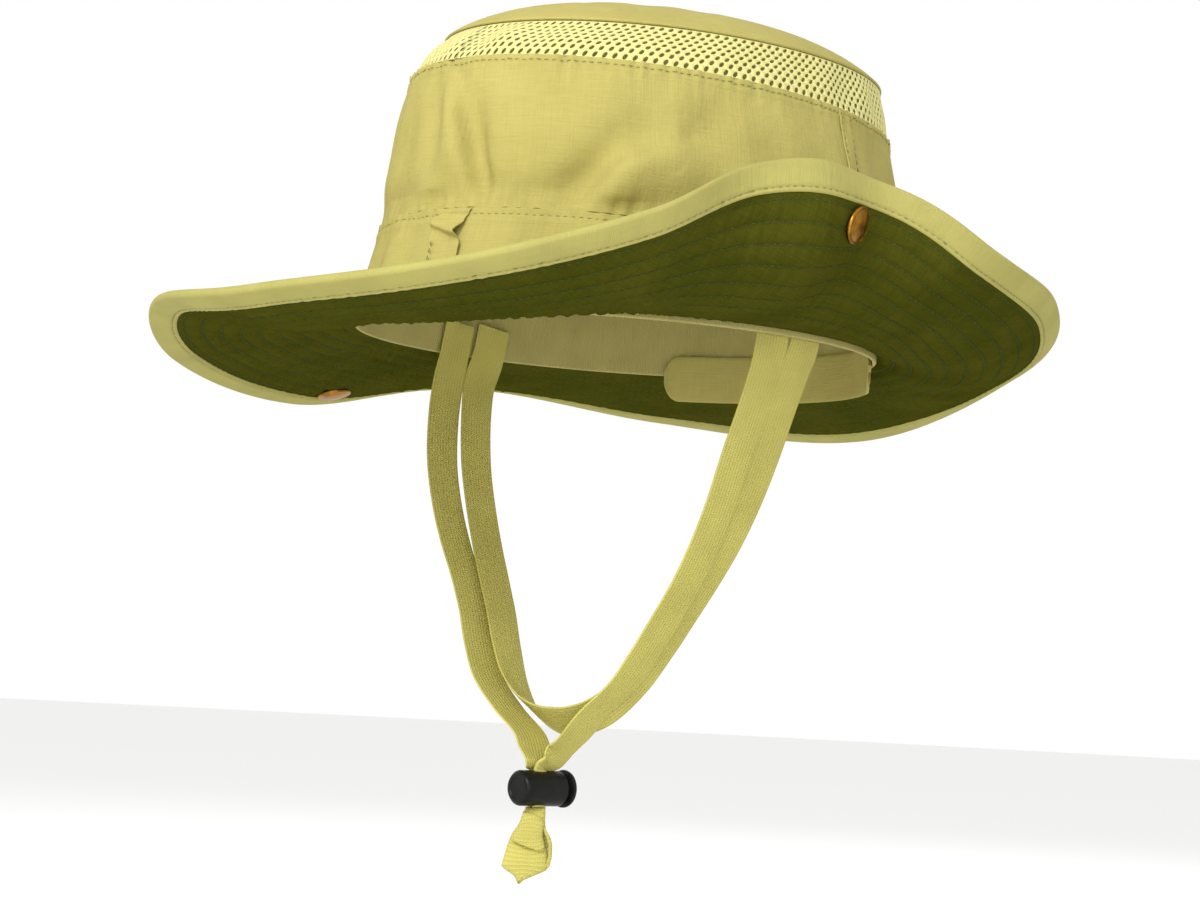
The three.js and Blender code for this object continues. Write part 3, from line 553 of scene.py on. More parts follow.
class Shader:
    """A material with one Principled shader, and the means to add nodes in front of it."""

    def __init__(self, name, **constants):
        self.material = bpy.data.materials.new(name)
        self.material.use_nodes = True
        self.tree = self.material.node_tree
        self.surface = self.tree.nodes["Principled BSDF"]
        for socket, value in constants.items():
            self.surface.inputs[socket.replace("_", " ")].default_value = value

    def feed(self, socket, value):
        """Links or sets one input socket."""
        if isinstance(value, Value):
            self.tree.links.new(value.socket, socket)
        else:
            socket.default_value = value

    def node(self, kind, settings, inputs, output=0):
        """Adds a node: its settings first, then the values or links of its sockets."""
        node = self.tree.nodes.new(kind)
        for name, value in settings.items():
            if name == "stops":
                for stop in value[2:]:
                    node.color_ramp.elements.new(stop[0])
                for element, stop in zip(node.color_ramp.elements, value):
                    element.position, element.color = stop
            else:
                setattr(node, name, value)
        for name, value in inputs.items():
            self.feed(node.inputs[name], value)
        return Value(self, node.outputs[output])

    def math(self, operation, *values):
        return self.node("ShaderNodeMath", {"operation": operation}, dict(enumerate(values)))

    def mix(self, share, first, second):
        """Mixes two colours, which are values or triples."""
        first, second = [c if isinstance(c, Value) else (*c, 1) for c in (first, second)]
        return self.node("ShaderNodeMix", {"data_type": "RGBA"}, {0: share, 6: first, 7: second}, 2)

    def uv(self):
        """The piece's own UV map, in metres, as two values."""
        place = self.node("ShaderNodeTexCoord", {}, {}, "UV")
        split = self.node("ShaderNodeSeparateXYZ", {}, {0: place})
        return split, Value(self, split.socket.node.outputs[1])

    def place(self):
        """Object coordinates, in metres."""
        return self.node("ShaderNodeTexCoord", {}, {}, "Object")

    def vector(self, x, y, z=0.0):
        return self.node("ShaderNodeCombineXYZ", {}, {0: x, 1: y, 2: z})

    def noise(self, place, scale, detail=2.0, roughness=0.5):
        inputs = {"Vector": place, "Scale": scale, "Detail": detail, "Roughness": roughness}
        return self.node("ShaderNodeTexNoise", {"noise_dimensions": "3D"}, inputs)

    def spread(self, value, low, high):
        """Stretches the values between low and high to 0 and 1."""
        return self.node("ShaderNodeMapRange", {},
                         {"Value": value, "From Min": low, "From Max": high})

    def finish(self, base=None, roughness=None, relief=None, distance=0.0002, strength=1.0):
        """Feeds the shader's colour, roughness and bump."""
        if base is not None:
            self.feed(self.surface.inputs["Base Color"], base)
        if roughness is not None:
            self.feed(self.surface.inputs["Roughness"], roughness)
        if relief is not None:
            inputs = {"Height": relief, "Distance": distance, "Strength": strength}
            bump = self.node("ShaderNodeBump", {}, inputs, "Normal")
            self.feed(self.surface.inputs["Normal"], bump)
        return self.material


def woven(name, light, shade, pitch=0.0005, wrinkle=0.5, specular=0.05):
    """Plain-woven cloth: threads both ways with slubs, a soft mottling and fine crumples."""
    shader = Shader(name, Specular_IOR_Level=specular)
    u, v = shader.uv()
    warp = shader.math("SINE", u * (TAU / pitch))
    weft = shader.math("SINE", v * (TAU / pitch))
    weave = warp * weft * 0.5 + 0.5
    slubs_up = shader.noise(shader.vector(u * 1700, v * 70), 1.0, 2.0)
    slubs_across = shader.noise(shader.vector(u * 70, v * 1700, 5.0), 1.0, 2.0)
    slubs = shader.spread(slubs_up * 0.5 + slubs_across * 0.5, 0.36, 0.64)
    cloud = shader.spread(shader.noise(shader.place(), 38.0, 3.0, 0.55), 0.35, 0.65)
    crumple = shader.noise(shader.place(), 150.0, 3.0, 0.5)
    tone = slubs * 0.4 + cloud * 0.35 + weave * 0.25
    base = shader.mix(tone, shade, light)
    rough = 0.72 + slubs * 0.16
    relief = weave * 0.35 + slubs * 0.5 + crumple * (6 * wrinkle)
    return shader.finish(base, rough, relief, distance=0.00022)


def knit(name, light):
    """The vent's knit: fine bright yarns that run round the holes, with painted shade that darkens
    the holes' inner edges.
    """
    shader = Shader(name, Specular_IOR_Level=0.1)
    u, v = shader.uv()
    yarn = shader.math("SINE", (u * 0.9 + v * 0.5) * (TAU / 0.00055)) * 0.5 + 0.5
    loops = shader.math("SINE", (v * 0.9 - u * 0.4) * (TAU / 0.0007)) * 0.5 + 0.5
    grain = shader.noise(shader.place(), 900.0, 2.0)
    shade = tuple(0.72 * c for c in light)
    base = shader.mix(yarn * loops * 0.4 + grain * 0.5 + 0.2, shade, light)
    # Painted shade: where the open attribute rises, at the holes' inner edges, the colour darkens
    # to 0.12 of the yarn's.
    inside = shader.node("ShaderNodeAttribute", {"attribute_name": "open"}, {}, "Fac")
    painted_hole_shade = tuple(0.12 * c for c in light)
    base = shader.mix(shader.spread(inside, 0.35, 0.95), base, painted_hole_shade)
    return shader.finish(base, 0.6 + grain * 0.2, yarn * 0.6 + loops * 0.5 + grain * 0.3, 0.00018)


def twisted(name, light):
    """Sewing thread: two plies twisted together."""
    shader = Shader(name, Specular_IOR_Level=0.02)
    place = shader.place()
    grain = shader.noise(place, 2600.0, 1.0)
    tone = shader.noise(place, 240.0, 2.0)
    shade = tuple(0.6 * c for c in light)
    base = shader.mix(shader.spread(grain * 0.5 + tone * 0.5, 0.35, 0.65), shade, light)
    return shader.finish(base, 0.65 + grain * 0.3, grain, 0.0001)


def tape(name, light, rib=0.0007, across=0.25):
    """Folded tape: fine ribs across it, little creases and a soft mottling."""
    shader = Shader(name, Specular_IOR_Level=0.08)
    u, v = shader.uv()
    ribs = shader.math("SINE", u * (TAU / rib)) * 0.5 + 0.5
    weft = shader.noise(shader.vector(u * 120, v * 2200), 1.0, 2.0)
    cloud = shader.spread(shader.noise(shader.place(), 55.0, 3.0), 0.35, 0.65)
    creases = shader.noise(shader.vector(u * 420, v * 60), 1.0, 2.0)
    shade = tuple(0.78 * c for c in light)
    base = shader.mix(ribs * 0.2 + weft * 0.35 + cloud * 0.45, shade, light)
    relief = ribs * across + weft * 0.4 + creases * 1.4
    return shader.finish(base, 0.68 + weft * 0.18, relief, 0.0002)


def braided(name, light, rib, stitch=0.0009):
    """Flat braid: a herringbone of yarns that turns at each lengthwise rib, with painted shade in
    the grooves between the ribs.
    """
    shader = Shader(name, Specular_IOR_Level=0.08)
    u, v = shader.uv()
    lane = shader.math("ABSOLUTE", shader.math("FRACT", v / rib + 100.0) - 0.5)
    yarn = shader.math("SINE", (u + lane * (rib * 1.2)) * (TAU / stitch)) * 0.5 + 0.5
    grain = shader.noise(shader.vector(u * 1500, v * 1500), 1.0, 2.0)
    cloud = shader.spread(shader.noise(shader.place(), 60.0, 2.0), 0.35, 0.65)
    # Painted shade: groove marks the grooves between the ribs, where the colour darkens by up to
    # 0.4 and the bump sinks.
    groove = shader.spread(lane, 0.3, 0.5)
    shade = tuple(0.55 * c for c in light)
    tone = yarn * 0.25 + grain * 0.2 + cloud * 0.2 + 0.4
    base = shader.mix(tone * (1 - groove * 0.4), shade, light)
    relief = yarn * 0.6 + grain * 0.3 - groove * 0.8
    return shader.finish(base, 0.66 + grain * 0.2, relief, 0.00022)


def metal(name, light):
    """Aged brass: soft tarnish, fine scratches and brighter wear."""
    shader = Shader(name, Metallic=1.0, Coat_Roughness=0.25)
    place = shader.place()
    tarnish = shader.spread(shader.noise(place, 260.0, 4.0, 0.6), 0.38, 0.66)
    scratches = shader.noise(place, 1800.0, 2.0)
    bright = tuple(min(1.0, 1.9 * c) for c in light)
    base = shader.mix(tarnish, light, bright)
    return shader.finish(base, 0.24 + tarnish * 0.14 + scratches * 0.1, scratches, 0.00003)


def moulded(name, light):
    """Moulded plastic: a fine satin texture with faint handling marks."""
    shader = Shader(name, Specular_IOR_Level=0.14)
    place = shader.place()
    grain = shader.noise(place, 2200.0, 2.0)
    marks = shader.spread(shader.noise(place, 220.0, 3.0), 0.4, 0.7)
    worn = tuple(2.2 * c for c in light)
    base = shader.mix(marks * 0.5, light, worn)
    return shader.finish(base, 0.3 + marks * 0.12 + grain * 0.08, grain, 0.00003)


def material(name):
    """The material of that name, made the first time that it is asked for."""
    look = f"{name}_look"
    if look in bpy.data.materials:
        return bpy.data.materials[look]
    c = colours()
    makers = {
        "khaki_cloth": lambda: woven(look, c.khaki, c.khaki_shade),
        "olive_cloth": lambda: woven(look, c.olive, c.olive_shade, 0.0007, 0.9, 0.0),
        "binding_tape": lambda: tape(look, c.binding),
        "sweatband_tape": lambda: tape(look, c.sweatband, rib=0.001, across=0.7),
        "vent_knit": lambda: knit(look, c.net),
        "khaki_thread": lambda: twisted(look, c.khaki_thread),
        "green_thread": lambda: twisted(look, c.green_thread),
        "braid": lambda: braided(look, c.braid, sizes().strap_width / sizes().braid_ribs),
        "brass": lambda: metal(look, c.brass),
        "black_plastic": lambda: moulded(look, c.plastic),
    }
    return makers[name]()


# Camera, lights and floor

CAMERA_AZIMUTH = 45.1
CAMERA_ELEVATION = -4.38
CAMERA_ROLL = 2.95
CAMERA_DISTANCE = 1.1197
CAMERA_TARGET = Vector((-0.00386, -0.00346, -0.04065))
FOCAL_PIXELS = 3082.8
FRAME_PIXELS = 1200
SENSOR_MM = 36
FLOOR_LEVEL = -0.262


def make_camera():
    """A camera at the photograph's viewing angle, with its small roll."""
    az, el, roll = np.radians([CAMERA_AZIMUTH, CAMERA_ELEVATION, CAMERA_ROLL])
    back = Vector((np.sin(az) * np.cos(el), -np.cos(az) * np.cos(el), np.sin(el)))
    level = Vector((np.cos(az), np.sin(az), 0))
    plumb = back.cross(level)
    right = np.cos(roll) * level + np.sin(roll) * plumb
    up = -np.sin(roll) * level + np.cos(roll) * plumb
    data = bpy.data.cameras.new("camera")
    data.sensor_width = SENSOR_MM
    data.lens = FOCAL_PIXELS * SENSOR_MM / FRAME_PIXELS
    data.clip_start = 0.01
    camera = bpy.data.objects.new("camera", data)
    bpy.context.scene.collection.objects.link(camera)
    turn = Matrix((right, up, back)).transposed().to_4x4()
    camera.matrix_world = Matrix.Translation(CAMERA_TARGET + back * CAMERA_DISTANCE) @ turn
    bpy.context.scene.camera = camera


def area_light(name, place, size, power):
    """A soft square light that faces the hat."""
    data = bpy.data.lights.new(name, "AREA")
    data.size = size
    data.energy = power
    light = bpy.data.objects.new(name, data)
    bpy.context.scene.collection.objects.link(light)
    light.location = place
    light.rotation_euler = (-Vector(place)).to_track_quat("-Z", "Y").to_euler()


def make_stage():
    """A pale floor, an even pale surround and soft lights."""
    bpy.ops.object.select_all(action="DESELECT")
    bpy.ops.mesh.primitive_circle_add(vertices=96, radius=9, fill_type="NGON",
                                      location=(0, 0, FLOOR_LEVEL))
    floor = bpy.context.active_object
    floor.name = "floor"
    paint = Shader("floor_paint", Base_Color=(0.86, 0.86, 0.85, 1), Roughness=0.7)
    floor.data.materials.append(paint.material)
    world = bpy.data.worlds.new("surround")
    world.use_nodes = True
    world.node_tree.nodes["Background"].inputs["Color"].default_value = (1, 1, 1, 1)
    world.node_tree.nodes["Background"].inputs["Strength"].default_value = 1.0
    bpy.context.scene.world = world
    bpy.context.scene.view_settings.view_transform = "Standard"
    area_light("key_light", (0.45, -1.42, 0.8), 0.45, 18)
    area_light("fill_light", (1.1, -1.1, -0.12), 1.0, 8)
    area_light("back_light", (-0.9, 1.3, 0.9), 1.0, 4)


# Pieces


def round_angles(steps):
    """Angles once round the hat from the back, with the last on the first."""
    return np.linspace(-180, 180, steps + 1)


BRIM_THREAD_DEPTH = 0.00035
BRIM_PLY_SHARE = 0.7


def brim_samples():
    """The reaches of the brim's stitch rows, and reaches that are close together at each row."""
    size = sizes()
    last = size.brim_width - size.binding_width - 2 * MM
    rows = np.linspace(size.first_row, last, size.stitch_rows)
    edges = np.concatenate([[-size.cloth], rows, [size.brim_width - size.binding_cloth - size.gap]])
    shares = np.array([0, 0.09, 0.22, 0.5, 0.78, 0.91])
    reaches = [low + shares * (high - low) for low, high in zip(edges[:-1], edges[1:])]
    return rows, np.concatenate([*reaches, edges[-1:]])


def brim_relief(degrees, reach, rows, seed):
    """How the rows of stitches draw the cloth in, and how it puffs and puckers between them."""
    nearest = np.min(np.abs(reach[..., None] - rows), axis=-1)
    spacing = rows[1] - rows[0]
    puff = np.sin(np.pi * np.clip(nearest / spacing, 0, 0.5))
    quilted = smooth(-0.001, 0.003, reach) * (1 - smooth(rows[-1], rows[-1] + 0.003, reach))
    groove = -0.0005 * np.exp(-(nearest / 0.001) ** 2)
    puckers = 0.0004 * puff * ripple(degrees, reach, seed, waves=(70, 200), drift=200)
    return (groove + 0.0004 * puff + puckers) * quilted


def brim_wave(degrees, reach):
    """A slow unevenness that both plies share."""
    share = np.clip(reach / sizes().brim_width, 0, 1)
    return 0.0009 * share * (1 - share) * 4 * ripple(degrees, reach, 5, waves=(5, 16), drift=30)


def brim_sheet(name, side, material_name, node):
    """One ply of the brim. Its side is 1 for the upper ply and -1 for the one below."""
    size = sizes()
    rows, reaches = brim_samples()
    if side > 0:
        reaches = reaches[::-1]
    degrees = round_angles(504)[:, None]
    reach = np.broadcast_to(reaches, (degrees.shape[0], len(reaches)))
    lift = side * (size.brim_face + brim_relief(degrees, reach, rows, 10 + side))
    points = brim_point(degrees, reach, lift + brim_wave(degrees, reach))
    radius = mean_radius() + reach
    a = np.radians(degrees)
    uv = np.stack([radius * np.sin(a), -radius * np.cos(a)], -1)
    piece = cloth(name, points, uv, BRIM_PLY_SHARE * size.ply)
    return finished(piece, material(material_name), [node])


def brim_row(reach, side, face):
    """The line and normals of a row of stitches that lies a face's distance off the middle."""
    degrees = round_angles(720)
    reach = np.full_like(degrees, reach)
    line = brim_point(degrees, reach, side * face + brim_wave(degrees, reach))
    return line, side * brim_frame(degrees, reach)[2]


def make_brim():
    """The khaki upper ply and the olive lower ply, with their rows of stitches."""
    brim_sheet("brim_upper_cloth", 1, "khaki_cloth", "brim_top_ply")
    brim_sheet("brim_under_cloth", -1, "olive_cloth", "brim_under_ply")
    rows, _ = brim_samples()
    face = sizes().brim_face - BRIM_THREAD_DEPTH
    for name, side, cloth_name, thread in (("upper", 1, "khaki_cloth", "khaki_thread"),
                                           ("under", -1, "olive_cloth", "green_thread")):
        stitches(f"brim_{name}_stitches", [brim_row(row, side, face) for row in rows],
                 material(thread))


def make_binding():
    """The tape folded round the brim's edge, drawn in along its row of stitches."""
    size = sizes()
    start = size.brim_width - size.binding_width
    far = size.binding_face
    seam = start + 0.0016
    flat = start + np.array([0, 0.15, 0.5, 1.0, 1.35, 1.6, 1.85, 2.3, 3.2, 4.6, 6.2]) * MM
    height = far - 0.0005 * np.exp(-((flat - seam) / 0.0004) ** 2)
    height = height - 0.0006 * np.exp(-((flat - start) / 0.00025) ** 2)
    turn = np.linspace(-90, 90, 13)
    rim_reach = size.brim_width - far + far * np.cos(np.radians(turn))
    rim_lift = far * np.sin(np.radians(turn))
    reaches = np.concatenate([flat, rim_reach, flat[::-1]])
    lifts = np.concatenate([-height, rim_lift, height[::-1]])
    degrees = round_angles(480)[:, None]
    reach = np.broadcast_to(reaches, (degrees.shape[0], len(reaches)))
    inner = np.exp(-((reach - seam) / 0.002) ** 2)
    pucker = 0.00018 * inner * ripple(degrees, reach, 21, waves=(120, 240), drift=100)
    lift = lifts + np.sign(lifts) * pucker
    points = brim_point(degrees, reach, lift + brim_wave(degrees, reach))
    path = np.concatenate([[0], np.cumsum(np.hypot(np.diff(reaches), np.diff(lifts)))])
    u = np.radians(degrees) * (size.head_length / 2 + size.brim_width)
    uv = np.stack(np.broadcast_arrays(u, path), -1)
    piece = cloth("brim_binding_tape", points, uv, 0.0006)
    finished(piece, material("binding_tape"), ["brim_binding"], angle=60)
    stitches("binding_stitches", [brim_row(seam, side, far - 0.0005) for side in (-1, 1)],
             material("khaki_thread"))


def crown_levels(low, high, trim, steps):
    """Levels between two rings, with a trim in metres at each end and finer steps near the ends."""
    rise = np.diff(column(CROWN_RINGS, "height")) * sizes().crown_height
    start = low + trim / rise[int(low)]
    end = high - trim / rise[int(high) - 1]
    t = (1 - np.cos(np.linspace(0, np.pi, steps + 1))) / 2
    t = 0.45 * np.linspace(0, 1, steps + 1) + 0.55 * t
    return start + (end - start) * t


def wall_height(levels):
    """The height of levels over the brim seam, in metres."""
    return ring_value("height", levels) * sizes().crown_height


Wrinkle = namedtuple("Wrinkle", "path width step hollow")
WALL_WRINKLES = [
    Wrinkle([(-1.5, 0.95), (5, 0.74), (8, 0.6), (10.5, 0.4), (13, 0.03)], 0.0038, 0.0024, 0.0018),
    Wrinkle([(-8.5, 0.95), (-6, 0.7), (-3.5, 0.42), (-2, 0.2)], 0.006, 0.001, 0.0014),
    Wrinkle([(30.5, 0.98), (31, 0.84)], 0.0016, 0, 0.0006),
    Wrinkle([(37.5, 0), (39.5, 0.23), (42, 0.43), (45.5, 0.55), (49.5, 0.59), (57, 0.63)],
            0.0052, 0.0026, 0.0022),
    Wrinkle([(43, 0.08), (48, 0.25), (55, 0.3)], 0.0055, 0, -0.0012),
    Wrinkle([(59, 0.52), (62, 0.63), (66, 0.72), (72, 0.82)], 0.005, 0.0008, 0.0018),
    Wrinkle([(53, 0.96), (54.5, 0.78)], 0.004, 0, 0.0008),
    Wrinkle([(111, 0.92), (114, 0.35)], 0.006, 0.0008, 0.001),
]


def wrinkles(degrees, share):
    """Creases of the wall along bent lines: a ridge beside a hollow."""
    girth = mean_radius()
    height = 0.5 * sizes().crown_height
    x, y = np.broadcast_arrays(np.radians(degrees) * girth, share * height)
    total = np.zeros(x.shape)
    for row in WALL_WRINKLES:
        path = np.array([(np.radians(a) * girth, s * height) for a, s in row.path])
        lengths = np.linalg.norm(np.diff(path, axis=0), axis=1)
        before = 0.0
        nearest = np.full(x.shape, np.inf)
        away, along = np.zeros(x.shape), np.zeros(x.shape)
        for start, end, run in zip(path[:-1], path[1:], lengths):
            way = (end - start) / run
            t = (x - start[0]) * way[0] + (y - start[1]) * way[1]
            side = (x - start[0]) * way[1] - (y - start[1]) * way[0]
            distance = np.hypot(side, t - np.clip(t, 0, run))
            closer = distance < nearest
            nearest = np.where(closer, distance, nearest)
            away = np.where(closer, np.copysign(distance, side), away)
            along = np.where(closer, before + np.clip(t, 0, run), along)
            before += run
        window = np.sin(np.pi * np.clip(along / before * 0.9 + 0.05, 0, 1)) ** 0.7
        across = away / row.width
        bell = np.exp(-across ** 2 / 2)
        total = total + window * bell * (row.step * 1.65 * across - row.hollow)
    return total


def wall_relief(degrees, levels):
    """Fine shape of the crown's wall: creases, gathers at its seams and the ridge under the net."""
    share = (levels - 1) / 2
    height = wall_height(levels)
    low, high = wall_height(np.array(1.0)), wall_height(np.array(3.0))
    foot = np.exp(-(height - low) / 0.006) * ripple(degrees, height, 31, (40, 120), 80)
    head = np.exp(-(high - height) / 0.0045) * ripple(degrees, height, 32, (60, 150), 80)
    seam = high - 0.0022
    ridge = 0.0005 * smooth(high - 0.0045, high - 0.0032, height)
    groove = -0.0005 * np.exp(-((height - seam) / 0.0005) ** 2)
    soft = 0.0005 * ripple(degrees, height, 33, waves=(6, 30), drift=120) * np.sin(np.pi * share)
    return wrinkles(degrees, share) + 0.0004 * foot + 0.00042 * head + ridge + groove + soft


def wall_piece(name, degrees, levels, offset, relief, node, wall):
    """A piece of the crown's wall over a range of angles and levels."""
    degrees = degrees[:, None]
    level = np.broadcast_to(levels, (degrees.shape[0], len(levels)))
    points = crown_point(degrees, level, offset)
    closed = bool(abs(degrees[-1, 0] - degrees[0, 0]) > 359)
    points = points + grid_normals(points, closed) * relief(degrees, level)[..., None]
    girth = mean_radius()
    uv = np.stack(np.broadcast_arrays(np.radians(degrees) * girth, wall_height(level)), -1)
    piece = cloth(name, points, uv, wall, (closed, False))
    return finished(piece, material("khaki_cloth"), [node])


def crown_row(level, drop, relief, degrees):
    """The line and normals of a row of stitches on the crown, a drop in metres below a level."""
    rise = np.diff(column(CROWN_RINGS, "height"))[int(np.ceil(level)) - 1] * sizes().crown_height
    levels = level - drop / rise + np.array([-0.02, 0, 0.02])
    grid = np.broadcast_to(levels, (len(degrees), 3))
    points = crown_point(degrees[:, None], grid)
    normals = grid_normals(points, False)
    points = points + normals * relief(degrees[:, None], grid)[..., None]
    return points[:, 1], normals[:, 1]


BAND_TUCKED = 1.03
SEWN_GAP = 0.02 * MM


def band_relief(degrees, levels):
    """Fine shape of the band: its folded upper edge, the groove of its seam and soft gathers."""
    height = wall_height(levels)
    top = wall_height(np.array(1.0))
    edge = 0.0005 * smooth(top - 0.0055, top - 0.0042, height)
    groove = -0.0005 * np.exp(-((height - top + 0.0025) / 0.0005) ** 2)
    gathers = 0.0003 * np.exp(-(top - height) / 0.006) * ripple(degrees, height, 41, (50, 140), 90)
    soft = 0.0007 * ripple(degrees, height, 42, waves=(8, 34), drift=90)
    behind = -0.0008 * smooth(0.99, 1.005, levels)
    return edge + groove + gathers + soft * np.sin(np.pi * np.clip(levels, 0, 1)) + behind


def strip_relief(degrees, levels):
    """A strip stands proud between its two rows of stitches and thins at its edges."""
    width = sizes().seam_strip
    middle = np.where(degrees > 0, SEAM_ANGLE, -SEAM_ANGLE)
    across = np.abs(np.radians(degrees - middle)) * sizes().head_length / 2
    groove = -0.0003 * np.exp(-((across - width / 2 + 0.0014) / 0.0004) ** 2)
    edge = -0.0004 * smooth(width / 2 - 0.0005, width / 2, across)
    soft = 0.0002 * ripple(degrees, levels * 0.02, 51, (30, 90), 900)
    return wall_relief(degrees, levels) + groove + edge + soft


def make_crown():
    """The band, the two panels of the wall and the strips over their joins."""
    size = sizes()
    lowest = (size.brim_face + size.gap / 2) / (CROWN_RINGS[1].height * size.crown_height)
    levels = crown_levels(0, 1, SEWN_GAP, 26)
    levels = lowest + (levels - levels[0]) * (BAND_TUCKED - lowest) / (levels[-1] - levels[0])
    wall_piece("crown_band_cloth", round_angles(440), levels, 0.0, band_relief,
               "crown_band", size.ply)
    levels = crown_levels(1, 3, SEWN_GAP, 52)
    end = SEAM_ANGLE - np.degrees(size.gap / size.head_width)
    back_end = 2 * SEAM_ANGLE - end
    wall_piece("crown_front_cloth", np.linspace(-end, end, 341), levels, 0.0, wall_relief,
               "crown_front_panel", size.ply)
    wall_piece("crown_back_cloth", np.linspace(back_end, 360 - back_end, 181), levels, 0.0,
               wall_relief, "crown_back_panel", size.ply)
    half = np.degrees(size.seam_strip / size.head_length)
    levels = crown_levels(1, 3, MM, 40)
    offset = size.ply + 0.1 * MM
    for name, side in (("left", 1), ("right", -1)):
        degrees = side * SEAM_ANGLE + half * np.linspace(-1, 1, 25)
        wall_piece(f"side_seam_{name}_cloth", degrees, levels, offset, strip_relief,
                   f"side_seam_{name}", size.ply)


Edge = namedtuple("Edge", "level left right")
TUCK_EDGES = [
    Edge(0.08, 4.6, 11.4), Edge(0.3, 4.1, 11.9), Edge(0.45, 3.4, 12.7), Edge(0.56, 3, 12.6),
    Edge(0.66, 2.6, 11.1), Edge(0.77, 1.7, 11.6), Edge(0.85, 3.2, 12.1), Edge(0.92, 5, 12.5),
    Edge(0.985, 6.5, 13),
]


def make_tuck():
    """The strip that overlaps the band's join, pinched across and loose at one edge."""
    size = sizes()
    s = np.linspace(0, 1, 45)[:, None]
    t = np.linspace(TUCK_EDGES[0].level, TUCK_EDGES[-1].level, 81)[None, :]
    levels = column(TUCK_EDGES, "level")
    left, right = (np.interp(t, levels, column(TUCK_EDGES, name)) for name in ("left", "right"))
    degrees = left + (right - left) * s
    level = np.broadcast_to(t, degrees.shape)
    above = level - 0.78 + 0.17 * s
    flap = 0.0023 * smooth(-0.012, 0.012, above) * (1 - smooth(0.02, 0.22, above))
    hollow = -0.0004 * np.exp(-((above + 0.05) / 0.05) ** 2)
    curl = 0.0016 * smooth(0.6, 1, s) * (0.5 + np.sin(11 * level + 1) * 0.5)
    sewn = -0.0003 * np.exp(-((s - 0.13) / 0.05) ** 2) * (above < -0.02)
    lift = (0.0009 + flap * (0.45 + 0.55 * s) + hollow + curl + sewn) * smooth(0, 0.03, s + 0.01)
    lift = np.maximum(lift * (1 - smooth(0.95, 0.985, level)), 0.0001)
    points = crown_point(degrees, level)
    points = points + grid_normals(points, False) * (lift + band_relief(degrees, level))[..., None]
    girth = mean_radius()
    uv = np.stack([np.radians(degrees) * girth, wall_height(level)], -1)
    piece = cloth("band_tuck_cloth", points, uv, 0.0004, (False, False))
    finished(piece, material("khaki_cloth"))
    line = crown_point(degrees[6, 2:48], level[6, 2:48])
    normals = grid_normals(points, False)[6, 2:48]
    stitches("band_tuck_stitches", [(line + normals * 0.0016, normals)],
             material("khaki_thread"))


def make_crown_stitches():
    """The rows of stitches on the crown's seams."""
    size = sizes()
    whole = round_angles(900)
    runs = [crown_row(1, 0.0025, band_relief, whole), crown_row(3, 0.0022, wall_relief, whole)]
    across = np.degrees((size.seam_strip / 2 - 0.0014) / (size.head_length / 2))
    levels = crown_levels(1, 3, 2 * MM, 60)
    for side in (-1, 1):
        for edge in (-across, across):
            degrees = side * SEAM_ANGLE + edge + np.array([-0.3, 0, 0.3])
            grid = crown_point(degrees[:, None], levels[None, :], size.ply)
            normals = grid_normals(grid, False)
            lift = wall_relief(*np.broadcast_arrays(degrees[:, None], levels[None, :])) - 0.0001
            runs.append(((grid + normals * lift[..., None])[1], normals[1]))
    stitches("crown_stitches", runs, material("khaki_thread"))


def ellipse_loop(radius_x, radius_y, slant, sides):
    """Points of a slanted oval round a cell's middle, in the cell's own units."""
    turns = TAU * np.arange(sides) / sides
    y = radius_y * np.sin(turns)
    return np.stack([0.5 + radius_x * np.cos(turns) + slant * y, 0.5 + y], -1)


def bridge(outer, inner):
    """Triangles between two loops of points round one middle, as indices into outer then inner."""
    def turns(loop):
        angle = np.arctan2(loop[:, 1] - 0.5, loop[:, 0] - 0.5)
        return np.mod(angle - np.arctan2(outer[0, 1] - 0.5, outer[0, 0] - 0.5) + 1e-6, TAU)

    first, second = turns(outer), turns(inner)
    start = int(np.argmin(second))
    second = np.roll(second, -start)
    order = np.roll(np.arange(len(inner)), -start)
    i = j = 0
    faces = []
    while i < len(outer) or j < len(inner):
        a, b = i % len(outer), order[j % len(inner)] + len(outer)
        next_outer = first[i + 1] if i + 1 < len(outer) else TAU + first[0] * (i + 1 == len(outer))
        next_inner = second[j + 1] if j + 1 < len(inner) else TAU + second[0]
        if j >= len(inner) or (i < len(outer) and next_outer <= next_inner):
            faces.append((a, (i + 1) % len(outer), b))
            i += 1
        else:
            faces.append((a, order[(j + 1) % len(inner)] + len(outer), b))
            j += 1
    return faces


